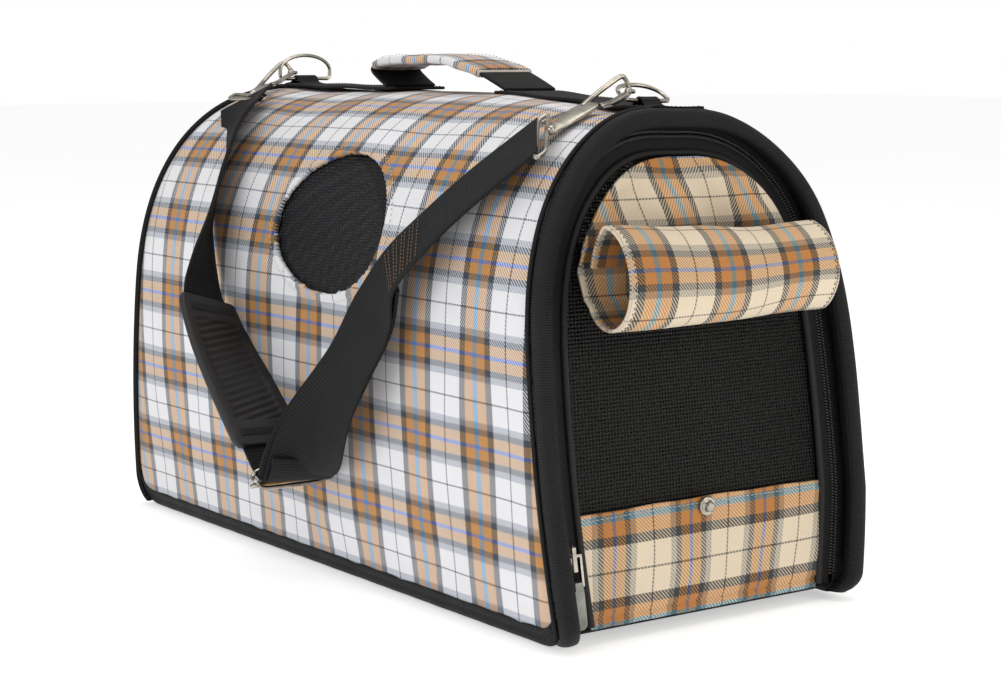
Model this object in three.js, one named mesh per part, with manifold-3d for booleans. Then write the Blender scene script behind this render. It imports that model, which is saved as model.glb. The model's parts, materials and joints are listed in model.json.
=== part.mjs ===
// Soft-sided pet transport carrier: a barrel-arched cabin of foam-backed fabric with a zipped
// front door, a roll-up flap, a padded handle and a clip-on shoulder strap.
// Millimetres. +X points out of the door, -Y is the side the strap hangs on, +Z is up.
// The origin is the middle of the cabin's flat underside.

import * as THREE from 'three';
import { mergeVertices } from 'three/addons/utils/BufferGeometryUtils.js';
import Module from 'manifold-3d';

const wasm = await Module();
wasm.setup();

// ---- Cabin section: sides that lean in towards the base, and an arched top ----
const HALF_WIDTH = 107.6;        // half the cabin's width at its waist
const WAIST_Z = 140;             // height of the widest point
const TOP_Z = 265;               // height of the ridge
const SIDE_CURVE = 5.08e-4;      // how fast the sides pull in below the waist, 1/mm
const ARCH_POWER = 2.43;         // squareness of the arch, 2 being an ellipse
const ARC_STEPS = 44;            // straight pieces along the whole section
const GAP = 0.3;                 // running gap between pieces that touch

// ---- Cabin length: both ends lean in towards the top ----
const FRONT_X = 218.5;           // plane of the panel's front edge, at the base
const FRONT_LEAN = 0.0875;       // how far that plane moves back per mm of height
const REAR_X = -227;             // outer face of the rear binding, at the base
const REAR_LEAN = 0.155;         // how far that face moves forward per mm of height
const FRONT_TRIM = 1.3;          // the shell stops this far behind the front plane
const REAR_EDGE = 3;             // and starts this far in front of the rear plane
const REAR_PLATE = 2.5;          // thickness of the rear panel
const REAR_PLATE_IN = 4;         // how far inside the rear plane the rear panel stands
const REAR_OPEN_INSET = 34;      // the rear opening's distance from the section's outline
const REAR_OPEN_FOOT_Z = 96;
const BINDING_OUT = 1;           // the rear binding laps over the shell's edge
const BINDING_IN = 9;
const BINDING_FOOT_Z = 6;
const WHOLE = 999;               // a height above the ridge: the slice isn't cut off at the top
const PANEL = 3;                 // thickness of the foam-backed fabric
const PANEL_FOOT_Z = 10;         // height of the panel's lower edge

// ---- Base ----
const BASE_THICK = 3;
const BASE_HALF = 92;            // half the base panel's width
const BASE_EDGE_RISE = 3.5;      // the base panel turns up towards the side seams
const BASE_EDGE_RUN = 9;
const BASE_FRONT_RISE = 5.7;     // and sweeps up to the door's hem
const BASE_FRONT_RUN = 45;
const BASE_FRONT_BACK = 4;       // the base stops behind the door
const BASE_REAR_IN = 8.3;        // and starts inside the rear panel
const BOARD_THICK = 4;
const BOARD_X = [-212, 160];
const BOARD_HALF = 81;
const SEAM_SIZE = 6;             // width of the binding along the bottom side seams
const SEAM_FOOT_Z = 1.2;

// ---- Side windows ----
const WINDOW_X = 14;
const WINDOW_Z = 195;
const WINDOW_HALF_LENGTH = 55;
const WINDOW_HALF_HEIGHT = 38;
const NET = 1;                   // thickness of the netting
const NET_MARGIN = 8;            // netting sewn behind the opening's edge
const CUT_REACH = 150;           // half length of the bar that cuts both windows

// ---- Front arch, from the outside in: lip, zip tape, two rows of teeth, gusset, piping ----
const LIP_RADIUS = 5;
const LIP_INSET = 4.5;
const LIP_FORWARD = 4.2;         // the lip stands in front of the panel's edge
const LIP_FOOT_Z = 6;
const TEETH_INSET = 12.6;        // line on which the two rows of teeth meet
const TEETH_WIDE = 1.5;
const ZIP_BACK = -4.2;           // the zip lies behind the panel's edge
const ZIP_THICK = 1.2;
const GUSSET_WIDE = 6;
const PIPING_RADIUS = 1.8;
const DOOR_INSET = 25.4;         // edge of the door's netting and lower panel
const DOOR_FOOT_Z = 9;
const DOOR_BACK = -5;
const LOWER_TOP_Z = 66;          // top edge of the fabric panel below the netting
const LOWER_THICK = 2.2;
const TEETH_PROUD = 0.7;         // the teeth are thicker than the tape on each side
const TEETH_PLAY = 0.15;         // half the gap between the two rows of teeth

// ---- Zip slider and pull, with x out of the zip, y across it and z along it ----
const SLIDER_Z = 46;
const SLIDER_TALL = 12;
const SLIDER_HALF = 3.2;
const SLIDER_PLATE = 1.6;
const BRIDGE_ASIDE = 1.2;        // the slider's bridge stands off its middle line
const BRIDGE_HALF = 1.1;
const BRIDGE_FOOT = 3.4;         // clear height under the bridge
const BRIDGE_TOP = 4.8;
const BRIDGE_LEG_Z = 2.6;        // the bridge's legs start this far from the middle
const PULL_ASIDE = 2.6;          // the pull hangs to the door's side of the zip
const LINK_HALF = 4.2;
const LINK_TOP = 1.9;
const LINK_FOOT = -14;
const LINK_WIRE = 1.3;
const LINK_X = 2;
const LINK_THICK = 1;
const TAB_FOOT = -35.5;
const TAB_HALF = 4.2;
const TAB_X = 0.7;
const TAB_DEEP = 3.6;            // thickness of the tab's head, which holds the link
const TAB_FRONT = 2.2;           // front face of the thinner blade below it
const TAB_SHOULDER = 4;
const NECK_HALF = 2.4;           // the tab's neck swings inside the link
const THROAT_HALF = 1.1;         // the hole in the neck for the link's bar

// ---- Roll-up flap ----
const FLAP_THICK = 1.8;
const FLAP_HALF = 70;            // half the flap's width
const FLAP_TOP_Z = 240;
const ROLL_FOOT_Z = 157;
const ROLL_TOP_Z = 205;
const ROLL_DEEP = 41;

// ---- Ridge webbing, handle and rings ----
const WEB_WIDE = 38;
const WEB_THICK = 1.8;
const RING_X = [-178, 172];      // rear and front D-rings
const RING_BAR_Z = TOP_Z + 5;
const RING_WIRE = 3;
const RING_HALF = 19.5;
const RING_TALL = 16;
const RING_LEG = 5;              // straight part of a ring's legs
const RING_LEAN = [0, -40];      // the front ring lies back, pulled by its hook
const LOOP_WIDE = 15;            // width of the webbing loop that holds a ring
const LOOP_END = 9;              // half length of the loop where it is sewn down
const LOOP_HEAD = 4.2;           // and where it goes over the bar
const LOOP_RISE = 6;
const LOOP_HOLE = 2.7;
const FOOT_X = [-57, 62];        // where the handle leaves the ridge, rear and front
const GRIP_WIDE = 38;
const GRIP_THICK = 5.6;

// ---- Shoulder strap ----
const SWING_Y = -15.5;           // line on which the strap's hooks hang in the rings
const SWING_Z = 274;
const HOOK_WIRE = 3;
const HOOK_THICK = 2.6;
const HOOK_HEAD = -6;            // the hook's bend reaches past the swing line
const HOOK_NECK = 27;            // where the bent wire meets the flat body
const HOOK_BODY = 10;            // width of the flat body
const GATE_WIDE = 3.4;
const EYE_WIDE = 44;
const EYE_WIRE = 2.8;
const EYE_LONG = 9;
const STRAP_WIDE = 38;
const STRAP_THICK = 2;
const DOUBLE_THICK = 4.4;        // the front leg is two layers of webbing
const PAD_THICK = 5;
const PAD_WIDE = 46;

const carrier = new THREE.Group();

function add(name, geometry, colour, roughness, metalness = 0) {
  const material = new THREE.MeshStandardMaterial({ color: colour, roughness, metalness });
  const mesh = new THREE.Mesh(geometry, material);
  mesh.name = name;
  carrier.add(mesh);
  return mesh;
}

const PLAID = 0xd8c3a2;
const BLACK = 0x17161a;
const NETTING = 0x0e0e10;
const NICKEL = 0xc9c6bd;
const addPlaid = (name, geometry) => add(name, geometry, PLAID, 0.75);
const addBlack = (name, geometry) => add(name, geometry, BLACK, 0.8);
const addNet = (name, geometry) => add(name, geometry, NETTING, 0.9);
const addMetal = (name, geometry) => add(name, geometry, NICKEL, 0.28, 1);

// ---- Geometry helpers ----

// Merges shared vertices, so that the mesh is closed, and turns its faces outward.
function closed(geometry) {
  geometry.deleteAttribute('normal');
  geometry.deleteAttribute('uv');
  const merged = mergeVertices(geometry, 1e-4);
  const place = merged.attributes.position;
  const index = merged.index.array;
  const corner = [new THREE.Vector3(), new THREE.Vector3(), new THREE.Vector3()];
  let volume = 0;
  for (let i = 0; i < index.length; i += 3) {
    corner.forEach((point, k) => point.fromBufferAttribute(place, index[i + k]));
    volume += corner[0].dot(corner[1].clone().cross(corner[2]));
  }
  if (volume < 0) {
    for (let i = 0; i < index.length; i += 3) {
      [index[i + 1], index[i + 2]] = [index[i + 2], index[i + 1]];
    }
  }
  merged.computeVertexNormals();
  return merged;
}

// Moves every vertex of a geometry to map(vertex).
function reshape(geometry, map) {
  const place = geometry.attributes.position;
  for (let i = 0; i < place.count; i += 1) {
    const moved = map(new THREE.Vector3().fromBufferAttribute(place, i));
    place.setXYZ(i, moved.x, moved.y, moved.z);
  }
  return closed(geometry);
}

// A block of unit coordinates (0 to 1 each way) bent into shape by map(a, b, s).
function bentBlock(stepsA, stepsB, stepsS, map) {
  const block = new THREE.BoxGeometry(1, 1, 1, stepsA, stepsB, stepsS);
  return reshape(block, (v) => map(v.x + 0.5, v.y + 0.5, v.z + 0.5));
}

// A round rod swept along frame(s), which gives a centre and two unit directions.
function bentRod(radius, sides, steps, frame) {
  const rod = new THREE.CylinderGeometry(1, 1, 1, sides, steps);
  return reshape(rod, (v) => {
    const at = frame(v.y + 0.5);
    return at.centre.clone()
      .addScaledVector(at.across, v.x * radius)
      .addScaledVector(at.up, v.z * radius);
  });
}

function toManifold(geometry) {
  const source = geometry.attributes.position.array;
  return new wasm.Manifold(new wasm.Mesh({
    numProp: 3,
    vertProperties: Float32Array.from(source),
    triVerts: Uint32Array.from(geometry.index.array),
  }));
}

function fromManifold(manifold) {
  const mesh = manifold.getMesh();
  const geometry = new THREE.BufferGeometry();
  geometry.setAttribute('position', new THREE.BufferAttribute(mesh.vertProperties, 3));
  geometry.setIndex(new THREE.BufferAttribute(mesh.triVerts, 1));
  return closed(geometry);
}

function join(...geometries) {
  return fromManifold(geometries.map(toManifold).reduce((whole, piece) => whole.add(piece)));
}

function cut(geometry, ...tools) {
  const solid = toManifold(geometry);
  return fromManifold(tools.map(toManifold).reduce((rest, tool) => rest.subtract(tool), solid));
}

function block(x0, x1, y0, y1, z0, z1) {
  const box = new THREE.BoxGeometry(x1 - x0, y1 - y0, z1 - z0);
  box.translate((x0 + x1) / 2, (y0 + y1) / 2, (z0 + z1) / 2);
  return closed(box);
}

// ---- The section ----

function halfWidthAt(z) {
  if (z <= WAIST_Z) return HALF_WIDTH - SIDE_CURVE * (WAIST_Z - z) ** 2;
  const rise = Math.min(1, (z - WAIST_Z) / (TOP_Z - WAIST_Z));
  return HALF_WIDTH * (1 - rise ** ARCH_POWER) ** (1 / ARCH_POWER);
}

function outlinePoint(angle) {
  const rise = Math.sin(angle) ** (2 / ARCH_POWER);
  const reach = Math.cos(angle) ** (2 / ARCH_POWER);
  return new THREE.Vector2(HALF_WIDTH * reach, WAIST_Z + (TOP_Z - WAIST_Z) * rise);
}

// Points of the outer section from the -Y foot over the ridge to the +Y foot, evenly spaced.
function outerSection(footZ) {
  const half = [];
  const fine = 200;
  for (let i = 0; i < fine; i += 1) {
    const z = footZ + (WAIST_Z - footZ) * i / fine;
    half.push(new THREE.Vector2(halfWidthAt(z), z));
  }
  for (let i = 0; i <= fine; i += 1) {
    half.push(outlinePoint((Math.PI / 2) * (i / fine)));
  }
  const near = half.map((p) => new THREE.Vector2(-p.x, p.y));
  const far = half.slice(0, -1).reverse();
  const dense = new THREE.Path(near.concat(far));
  return dense.getSpacedPoints(ARC_STEPS);
}

// Centre and inward direction at share s of the section, moved inward by inset.
function sectionPoint(points, s, inset) {
  const last = points.length - 1;
  const place = Math.min(last, Math.max(0, s * last));
  const i = Math.min(last - 1, Math.floor(place));
  const part = place - i;
  const point = points[i].clone().lerp(points[i + 1], part);
  const before = points[Math.max(0, Math.round(place) - 1)];
  const after = points[Math.min(last, Math.round(place) + 1)];
  const along = after.clone().sub(before).normalize();
  const inward = new THREE.Vector2(along.y, -along.x);
  return { point: point.addScaledVector(inward, inset), inward };
}

const frontX = (z) => FRONT_X - FRONT_LEAN * z;
const rearX = (z) => REAR_X + REAR_LEAN * z;

// An arched band, from inset near to far and from x face back to face forth.
function archBand(footZ, insetOut, insetIn, back, forth, steps = ARC_STEPS) {
  const points = outerSection(footZ);
  return bentBlock(1, 1, steps, (a, b, s) => {
    const inset = insetOut + (insetIn - insetOut) * b;
    const { point } = sectionPoint(points, s, inset);
    const x = back(point.y) + (forth(point.y) - back(point.y)) * a;
    return new THREE.Vector3(x, point.x, point.y);
  });
}

// A round cord sewn round the front arch.
function archCord(footZ, inset, radius, forward, sides) {
  const points = outerSection(footZ);
  return bentRod(radius, sides, ARC_STEPS, (s) => {
    const { point, inward } = sectionPoint(points, s, inset);
    return {
      centre: new THREE.Vector3(frontX(point.y) + forward, point.x, point.y),
      across: new THREE.Vector3(1, 0, 0),
      up: new THREE.Vector3(0, inward.x, inward.y),
    };
  });
}

// Where a polyline first crosses height z.
function crossing(line, z) {
  const i = line.findIndex((p, k) => k > 0 && (line[k - 1].y - z) * (p.y - z) <= 0);
  const share = (z - line[i - 1].y) / (line[i].y - line[i - 1].y);
  return line[i - 1].clone().lerp(line[i], share);
}

// The outline inside the section between two heights, as a shape in (y, z).
function sectionSlice(inset, lowZ, highZ) {
  const points = outerSection(lowZ - 3 - inset / 5);
  const inside = points.map((_, i) => sectionPoint(points, i / (points.length - 1), inset).point);
  const near = inside.filter((p) => p.x < -0.01);
  const far = inside.filter((p) => p.x > 0.01).reverse();
  const between = (p) => p.y > lowZ + 0.5 && p.y < highZ - 0.5;
  const nearSide = [crossing(near, lowZ), ...near.filter(between)];
  const farSide = [crossing(far, lowZ), ...far.filter(between)];
  if (highZ < TOP_Z - inset) {
    nearSide.push(crossing(near, highZ));
    farSide.push(crossing(far, highZ));
  }
  return new THREE.Shape([...nearSide, ...farSide.reverse()]);
}

// A flat plate of that outline, standing on a leaning end plane.
function endPlate(shape, plane, back, thick) {
  const plate = new THREE.ExtrudeGeometry(shape, { depth: thick, bevelEnabled: false });
  return reshape(plate, (v) => new THREE.Vector3(plane(v.y) + back + v.z, v.x, v.y));
}

const frontPlate = (inset, lowZ, highZ, back, thick) => (
  endPlate(sectionSlice(inset, lowZ, highZ), frontX, back, thick)
);

// ---- Cabin ----

function ellipse(halfWide, halfTall, points = 40) {
  const shape = new THREE.Shape();
  shape.absellipse(0, 0, halfWide, halfTall, 0, 2 * Math.PI);
  return new THREE.Shape(shape.getSpacedPoints(points).slice(0, -1));
}

// An oval bar along Y, used to cut both windows and to trim their netting.
function windowBar(y0, y1, grow) {
  const oval = ellipse(WINDOW_HALF_LENGTH + grow, WINDOW_HALF_HEIGHT + grow);
  const bar = new THREE.ExtrudeGeometry(oval, { depth: y1 - y0, bevelEnabled: false });
  return reshape(bar, (v) => new THREE.Vector3(WINDOW_X + v.x, y0 + v.z, WINDOW_Z + v.y));
}

function shellPanel() {
  const tube = archBand(PANEL_FOOT_Z, 0, PANEL, (z) => rearX(z) + REAR_EDGE, (z) => frontX(z) - FRONT_TRIM);
  return cut(tube, windowBar(-CUT_REACH, CUT_REACH, 0));
}

function windowNet(side) {
  const back = () => WINDOW_X - WINDOW_HALF_LENGTH - 20;
  const forth = () => WINDOW_X + WINDOW_HALF_LENGTH + 20;
  const skin = archBand(PANEL_FOOT_Z, PANEL + GAP, PANEL + GAP + NET, back, forth);
  const reach = side < 0 ? [-CUT_REACH, -20] : [20, CUT_REACH];
  const bar = toManifold(windowBar(reach[0], reach[1], NET_MARGIN));
  return fromManifold(toManifold(skin).intersect(bar));
}

function rearPanel() {
  const inset = PANEL + 2 * GAP;
  const whole = sectionSlice(inset, BASE_THICK + 1, WHOLE);
  const plate = endPlate(whole, rearX, REAR_PLATE_IN, REAR_PLATE);
  const opening = endPlate(sectionSlice(REAR_OPEN_INSET, REAR_OPEN_FOOT_Z, WHOLE), rearX, 0, 12);
  return cut(plate, opening);
}

function rearNet() {
  const slice = sectionSlice(REAR_OPEN_INSET - NET_MARGIN, REAR_OPEN_FOOT_Z - NET_MARGIN, WHOLE);
  return endPlate(slice, rearX, REAR_PLATE_IN + REAR_PLATE + GAP, NET);
}

function rearBinding() {
  return archBand(BINDING_FOOT_Z, -BINDING_OUT, BINDING_IN, rearX, (z) => rearX(z) + REAR_EDGE - GAP);
}

function baseLift(x, y) {
  const frontEdge = FRONT_X - BASE_FRONT_BACK;
  const fromFront = Math.max(0, x - (frontEdge - BASE_FRONT_RUN)) / BASE_FRONT_RUN;
  const fromSide = Math.max(0, Math.abs(y) - (BASE_HALF - BASE_EDGE_RUN)) / BASE_EDGE_RUN;
  return Math.min(BASE_FRONT_RISE, BASE_FRONT_RISE * fromFront ** 2 + BASE_EDGE_RISE * fromSide ** 2);
}

function basePanel() {
  return bentBlock(20, 1, 16, (a, b, s) => {
    const back = REAR_X + BASE_REAR_IN;
    const x = back + (FRONT_X - BASE_FRONT_BACK - back) * a;
    const y = -BASE_HALF + 2 * BASE_HALF * s;
    return new THREE.Vector3(x, y, baseLift(x, y) + BASE_THICK * b);
  });
}

const boardZ = BASE_THICK + GAP;
function baseBoard() {
  return block(BOARD_X[0], BOARD_X[1], -BOARD_HALF, BOARD_HALF, boardZ, boardZ + BOARD_THICK);
}

// The black seam between the side panel's foot and the base, one on each side.
function sideSeam(side) {
  const back = REAR_X + BASE_REAR_IN + GAP;
  const forth = frontX(PANEL_FOOT_Z) - BASE_FRONT_BACK;
  const outer = halfWidthAt(SEAM_FOOT_Z) + 1;
  const near = side < 0 ? -outer : outer - SEAM_SIZE;
  return block(back, forth, near, near + SEAM_SIZE, SEAM_FOOT_Z, PANEL_FOOT_Z - GAP);
}

// ---- Front arch and door ----

const frontLip = () => archCord(LIP_FOOT_Z, LIP_INSET, LIP_RADIUS, LIP_FORWARD, 10);

function zipBand(insetOut, insetIn, thick, lift = 0) {
  const back = (z) => frontX(z) + ZIP_BACK - lift;
  return archBand(DOOR_FOOT_Z + 2, insetOut, insetIn, back, (z) => back(z) + thick + 2 * lift);
}

const zipTapeOuter = () => zipBand(PANEL + GAP, TEETH_INSET - TEETH_WIDE - GAP, ZIP_THICK);
const teethBand = (from, to) => zipBand(from, to, ZIP_THICK, TEETH_PROUD);
const zipTeethOuter = () => teethBand(TEETH_INSET - TEETH_WIDE, TEETH_INSET - TEETH_PLAY);
const zipTeethInner = () => teethBand(TEETH_INSET + TEETH_PLAY, TEETH_INSET + TEETH_WIDE);
const gussetIn = TEETH_INSET + TEETH_WIDE + GAP + GUSSET_WIDE;
const doorGusset = () => zipBand(TEETH_INSET + TEETH_WIDE + GAP, gussetIn, ZIP_THICK);
const pipingInset = gussetIn + GAP + PIPING_RADIUS;
const doorPiping = () => archCord(DOOR_FOOT_Z, pipingInset, PIPING_RADIUS, ZIP_BACK + 1.5, 8);
const doorNet = () => frontPlate(DOOR_INSET, LOWER_TOP_Z + GAP, WHOLE, DOOR_BACK, NET);
const lowerPanel = () => frontPlate(DOOR_INSET, DOOR_FOOT_Z, LOWER_TOP_Z, DOOR_BACK, LOWER_THICK);

// The stud of a button snap, on the door's lower panel.
function snapStud() {
  const profile = [[0, 0], [6.2, 0], [6.2, 1], [3.2, 1.4], [2.6, 3.6], [0, 4]];
  const stud = new THREE.LatheGeometry(profile.map(([r, h]) => new THREE.Vector2(r, h)), 20);
  const z = LOWER_TOP_Z - 5;
  const x = frontX(z) + DOOR_BACK + LOWER_THICK + GAP + FRONT_LEAN * 7;
  return reshape(stud, (v) => new THREE.Vector3(x + v.y, v.x, z + v.z));
}

// The flap hangs from the arch, runs down the netting and curls up outward into a C-shaped roll.
function flapPath() {
  const middle = (ROLL_FOOT_Z + ROLL_TOP_Z) / 2;
  const tall = (ROLL_TOP_Z - ROLL_FOOT_Z) / 2;
  const path = [[FLAP_TOP_Z, 1.4], [FLAP_TOP_Z - 20, 2.2], [ROLL_TOP_Z + 4, 2.4], [middle + 6, 2.2]];
  path.push([middle - 12, 3.2]);
  const turns = 15;
  for (let i = 0; i <= turns; i += 1) {
    const angle = THREE.MathUtils.degToRad(212 + (236 * i) / turns);
    const out = ROLL_DEEP / 2 + 2 + (ROLL_DEEP / 2) * Math.cos(angle);
    path.push([middle + tall * Math.sin(angle), out]);
  }
  path.push([ROLL_TOP_Z - 10, 12], [middle + 4, 8]);
  return path.map(([z, w]) => new THREE.Vector3(frontX(z) + w, 0, z));
}

function doorFlap() {
  const curve = new THREE.CatmullRomCurve3(flapPath(), false, 'centripetal');
  const sheet = bentBlock(1, 1, 56, (a, b, s) => {
    const point = curve.getPointAt(s);
    const along = curve.getTangentAt(s);
    const out = new THREE.Vector3(along.z, 0, -along.x);
    point.addScaledVector(out, FLAP_THICK * (0.5 - b));
    point.y = FLAP_HALF * (2 * a - 1);
    return point;
  });
  const limit = endPlate(sectionSlice(DOOR_INSET - 1, 20, WHOLE), frontX, -20, 120);
  return fromManifold(toManifold(sheet).intersect(toManifold(limit)));
}

// ---- Zip slider and pull ----

const SLIDER_LEAN = new THREE.Vector2(-FRONT_LEAN, 2 * SIDE_CURVE * (WAIST_Z - SLIDER_Z - 25));
const SLIDER_INWARD = 1.1;       // the slider's middle sits inside the teeth's meeting line
const sliderY = -(halfWidthAt(SLIDER_Z) - TEETH_INSET - SLIDER_INWARD);
const sliderX = frontX(SLIDER_Z) + ZIP_BACK + ZIP_THICK + TEETH_PROUD + GAP;

// Stands a part built round the slider's middle on the leaning zip line.
function onZip(geometry) {
  return reshape(geometry, (v) => new THREE.Vector3(
    sliderX + v.x + SLIDER_LEAN.x * v.z,
    sliderY + v.y - SLIDER_LEAN.y * v.z,
    SLIDER_Z + v.z,
  ));
}

function zipSlider() {
  const half = SLIDER_TALL / 2;
  const plate = block(0, SLIDER_PLATE, -SLIDER_HALF, SLIDER_HALF, -half, half);
  const near = BRIDGE_ASIDE - BRIDGE_HALF;
  const far = BRIDGE_ASIDE + BRIDGE_HALF;
  const legTop = (BRIDGE_FOOT + BRIDGE_TOP) / 2;
  const topLeg = block(SLIDER_PLATE / 2, legTop, near, far, BRIDGE_LEG_Z, half);
  const bottomLeg = block(SLIDER_PLATE / 2, legTop, near, far, -half, -BRIDGE_LEG_Z);
  const bridge = block(BRIDGE_FOOT, BRIDGE_TOP, near, far, -half, half);
  return onZip(join(plate, topLeg, bottomLeg, bridge));
}

// A flat wire frame: an outline with a hole, of the given thickness along X.
function wireFrame(y0, y1, z0, z1, wire, x0, thick) {
  return cut(
    block(x0, x0 + thick, y0, y1, z0, z1),
    block(x0 - 1, x0 + thick + 1, y0 + wire, y1 - wire, z0 + wire, z1 - wire),
  );
}

const BAR_Z = LINK_FOOT + LINK_WIRE / 2;
const linkNear = PULL_ASIDE - LINK_HALF;
const linkFar = PULL_ASIDE + LINK_HALF;
const pullLink = () => onZip(
  wireFrame(linkNear, linkFar, LINK_FOOT, LINK_TOP, LINK_WIRE, LINK_X, LINK_THICK),
);

// The tab: a thick neck closed round the link's bar, above a thinner blade with a round foot.
function pullTab() {
  const neckTop = BAR_Z + THROAT_HALF + 0.7;
  const neckFoot = BAR_Z - THROAT_HALF - 0.8;
  const shoulder = BAR_Z - TAB_SHOULDER;
  const roundFrom = TAB_FOOT + TAB_HALF;
  const outline = new THREE.Shape();
  outline.moveTo(-NECK_HALF, neckTop);
  outline.lineTo(-NECK_HALF, neckFoot);
  outline.lineTo(-TAB_HALF, shoulder);
  outline.lineTo(-TAB_HALF, roundFrom);
  outline.quadraticCurveTo(-TAB_HALF, TAB_FOOT, 0, TAB_FOOT);
  outline.quadraticCurveTo(TAB_HALF, TAB_FOOT, TAB_HALF, roundFrom);
  outline.lineTo(TAB_HALF, shoulder);
  outline.lineTo(NECK_HALF, neckFoot);
  outline.lineTo(NECK_HALF, neckTop);
  const settings = { depth: TAB_DEEP, bevelEnabled: false, curveSegments: 6 };
  const plate = new THREE.ExtrudeGeometry(outline, settings);
  const whole = reshape(plate, (v) => new THREE.Vector3(TAB_X + v.z, v.x + PULL_ASIDE, v.y));
  const clear = 2 * TAB_HALF + PULL_ASIDE;
  const back = TAB_X + 0.7;
  const throat = block(back, back + TAB_FRONT, -clear, clear, BAR_Z - THROAT_HALF, BAR_Z + THROAT_HALF);
  const inFront = block(TAB_FRONT, 2 * TAB_DEEP, -clear, clear, TAB_FOOT - 1, neckFoot - 0.7);
  return onZip(cut(whole, throat, inFront));
}

// ---- Ridge webbing, rings and handle ----

function ridgeStrip(x0, x1) {
  const low = TOP_Z + GAP;
  return block(x0, x1, -WEB_WIDE / 2, WEB_WIDE / 2, low, low + WEB_THICK);
}

// A loop of webbing sewn down round a ring's bar, open along Y for the bar.
function ringLoop(x) {
  const low = TOP_Z + 2 * GAP + WEB_THICK;
  const outer = new THREE.Shape();
  outer.moveTo(x - LOOP_END, low);
  outer.lineTo(x + LOOP_END, low);
  outer.lineTo(x + LOOP_HEAD, low + LOOP_RISE);
  outer.lineTo(x - LOOP_HEAD, low + LOOP_RISE);
  const loop = new THREE.ExtrudeGeometry(outer, { depth: LOOP_WIDE, bevelEnabled: false });
  const solid = reshape(loop, (v) => new THREE.Vector3(v.x, v.z - LOOP_WIDE / 2, v.y));
  const side = 2 * LOOP_WIDE;
  const hole = block(x - LOOP_HOLE, x + LOOP_HOLE, -side, side, low + 0.3, low + LOOP_RISE - 0.9);
  return cut(solid, hole);
}

// A D-ring in the YZ plane: a straight bar, two legs and a round top, turned by lean about Y.
function dRing(x, lean) {
  const outline = new THREE.Shape();
  outline.moveTo(-RING_HALF, -RING_WIRE / 2);
  outline.lineTo(RING_HALF, -RING_WIRE / 2);
  outline.lineTo(RING_HALF, RING_LEG);
  outline.absellipse(0, RING_LEG, RING_HALF, RING_TALL - RING_LEG, 0, Math.PI, false);
  const hole = new THREE.Path();
  const half = RING_HALF - RING_WIRE;
  hole.moveTo(-half, RING_WIRE / 2);
  hole.lineTo(half, RING_WIRE / 2);
  hole.lineTo(half, RING_LEG);
  hole.absellipse(0, RING_LEG, half, RING_TALL - RING_LEG - RING_WIRE, 0, Math.PI, false);
  outline.holes.push(hole);
  const settings = { depth: RING_WIRE, bevelEnabled: false, curveSegments: 10 };
  const ring = new THREE.ExtrudeGeometry(outline, settings);
  const angle = THREE.MathUtils.degToRad(lean);
  return reshape(ring, (v) => {
    const out = v.z - RING_WIRE / 2;
    const dx = out * Math.cos(angle) + v.y * Math.sin(angle);
    const dz = v.y * Math.cos(angle) - out * Math.sin(angle);
    return new THREE.Vector3(x + dx, v.x, RING_BAR_Z + dz);
  });
}

// A flat strip bent along a curve in the XZ plane, from one share of the curve to another.
function stripAlong(curve, width, thick, from, to, steps) {
  return bentBlock(1, 1, steps, (a, b, s) => {
    const share = from + (to - from) * s;
    const point = curve.getPointAt(share);
    const along = curve.getTangentAt(share);
    const out = new THREE.Vector3(along.z, 0, -along.x);
    point.addScaledVector(out, thick * (0.5 - b));
    point.y += width * (a - 0.5);
    return point;
  });
}

const handleCurve = new THREE.CatmullRomCurve3([
  new THREE.Vector3(FOOT_X[0], 0, TOP_Z + 2.6),
  new THREE.Vector3(FOOT_X[0] - 8, 0, TOP_Z + 6.4),
  new THREE.Vector3(FOOT_X[0] - 16, 0, TOP_Z + 12),
  new THREE.Vector3(FOOT_X[0] - 6, 0, TOP_Z + 16),
  new THREE.Vector3(-28, 0, TOP_Z + 18),
  new THREE.Vector3(5, 0, TOP_Z + 17.2),
  new THREE.Vector3(34, 0, TOP_Z + 11.6),
  new THREE.Vector3(50, 0, TOP_Z + 6.6),
  new THREE.Vector3(FOOT_X[1], 0, TOP_Z + 2.6),
], false, 'centripetal');
const GRIP_FROM = 0.15;
const GRIP_TO = 0.83;
const handleGrip = () => stripAlong(handleCurve, GRIP_WIDE, GRIP_THICK, GRIP_FROM, GRIP_TO, 24);
const FOOT_WIDE = GRIP_WIDE - 2;
const JOIN_SHARE = 0.004;        // share of the curve left as a gap between a foot and the grip
const handleFoot = (from, to) => stripAlong(handleCurve, FOOT_WIDE, WEB_THICK, from, to, 6);
const handleFootRear = () => handleFoot(0.01, GRIP_FROM - JOIN_SHARE);
const handleFootFront = () => handleFoot(GRIP_TO + JOIN_SHARE, 0.99);

// ---- Shoulder strap ----

// A hook's frame: it hangs from the ring at the swing line and its eye lies on the shoulder.
function hookFrame(x, eye) {
  const origin = new THREE.Vector3(x, SWING_Y, SWING_Z);
  const along = eye.clone().sub(origin).normalize();
  const across = new THREE.Vector3(1, 0, 0).addScaledVector(along, -along.x).normalize();
  const out = across.clone().cross(along).normalize();
  const long = eye.distanceTo(origin);
  return { origin, along, across, out, long };
}

const EYES = [new THREE.Vector3(-150, -59, 258.4), new THREE.Vector3(175, -71, 250.8)];
const HOOKS = [hookFrame(RING_X[0] + 1, EYES[0]), hookFrame(RING_X[1] - 5.5, EYES[1])];

// Stands a flat shape (x across the hook, y from the ring towards the eye) in a hook's frame.
function inHook(hook, shape, from, thick) {
  const flat = new THREE.ExtrudeGeometry(shape, { depth: thick, bevelEnabled: false });
  return reshape(flat, (v) => hook.origin.clone()
    .addScaledVector(hook.across, v.x)
    .addScaledVector(hook.along, v.y)
    .addScaledVector(hook.out, from + v.z));
}

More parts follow.
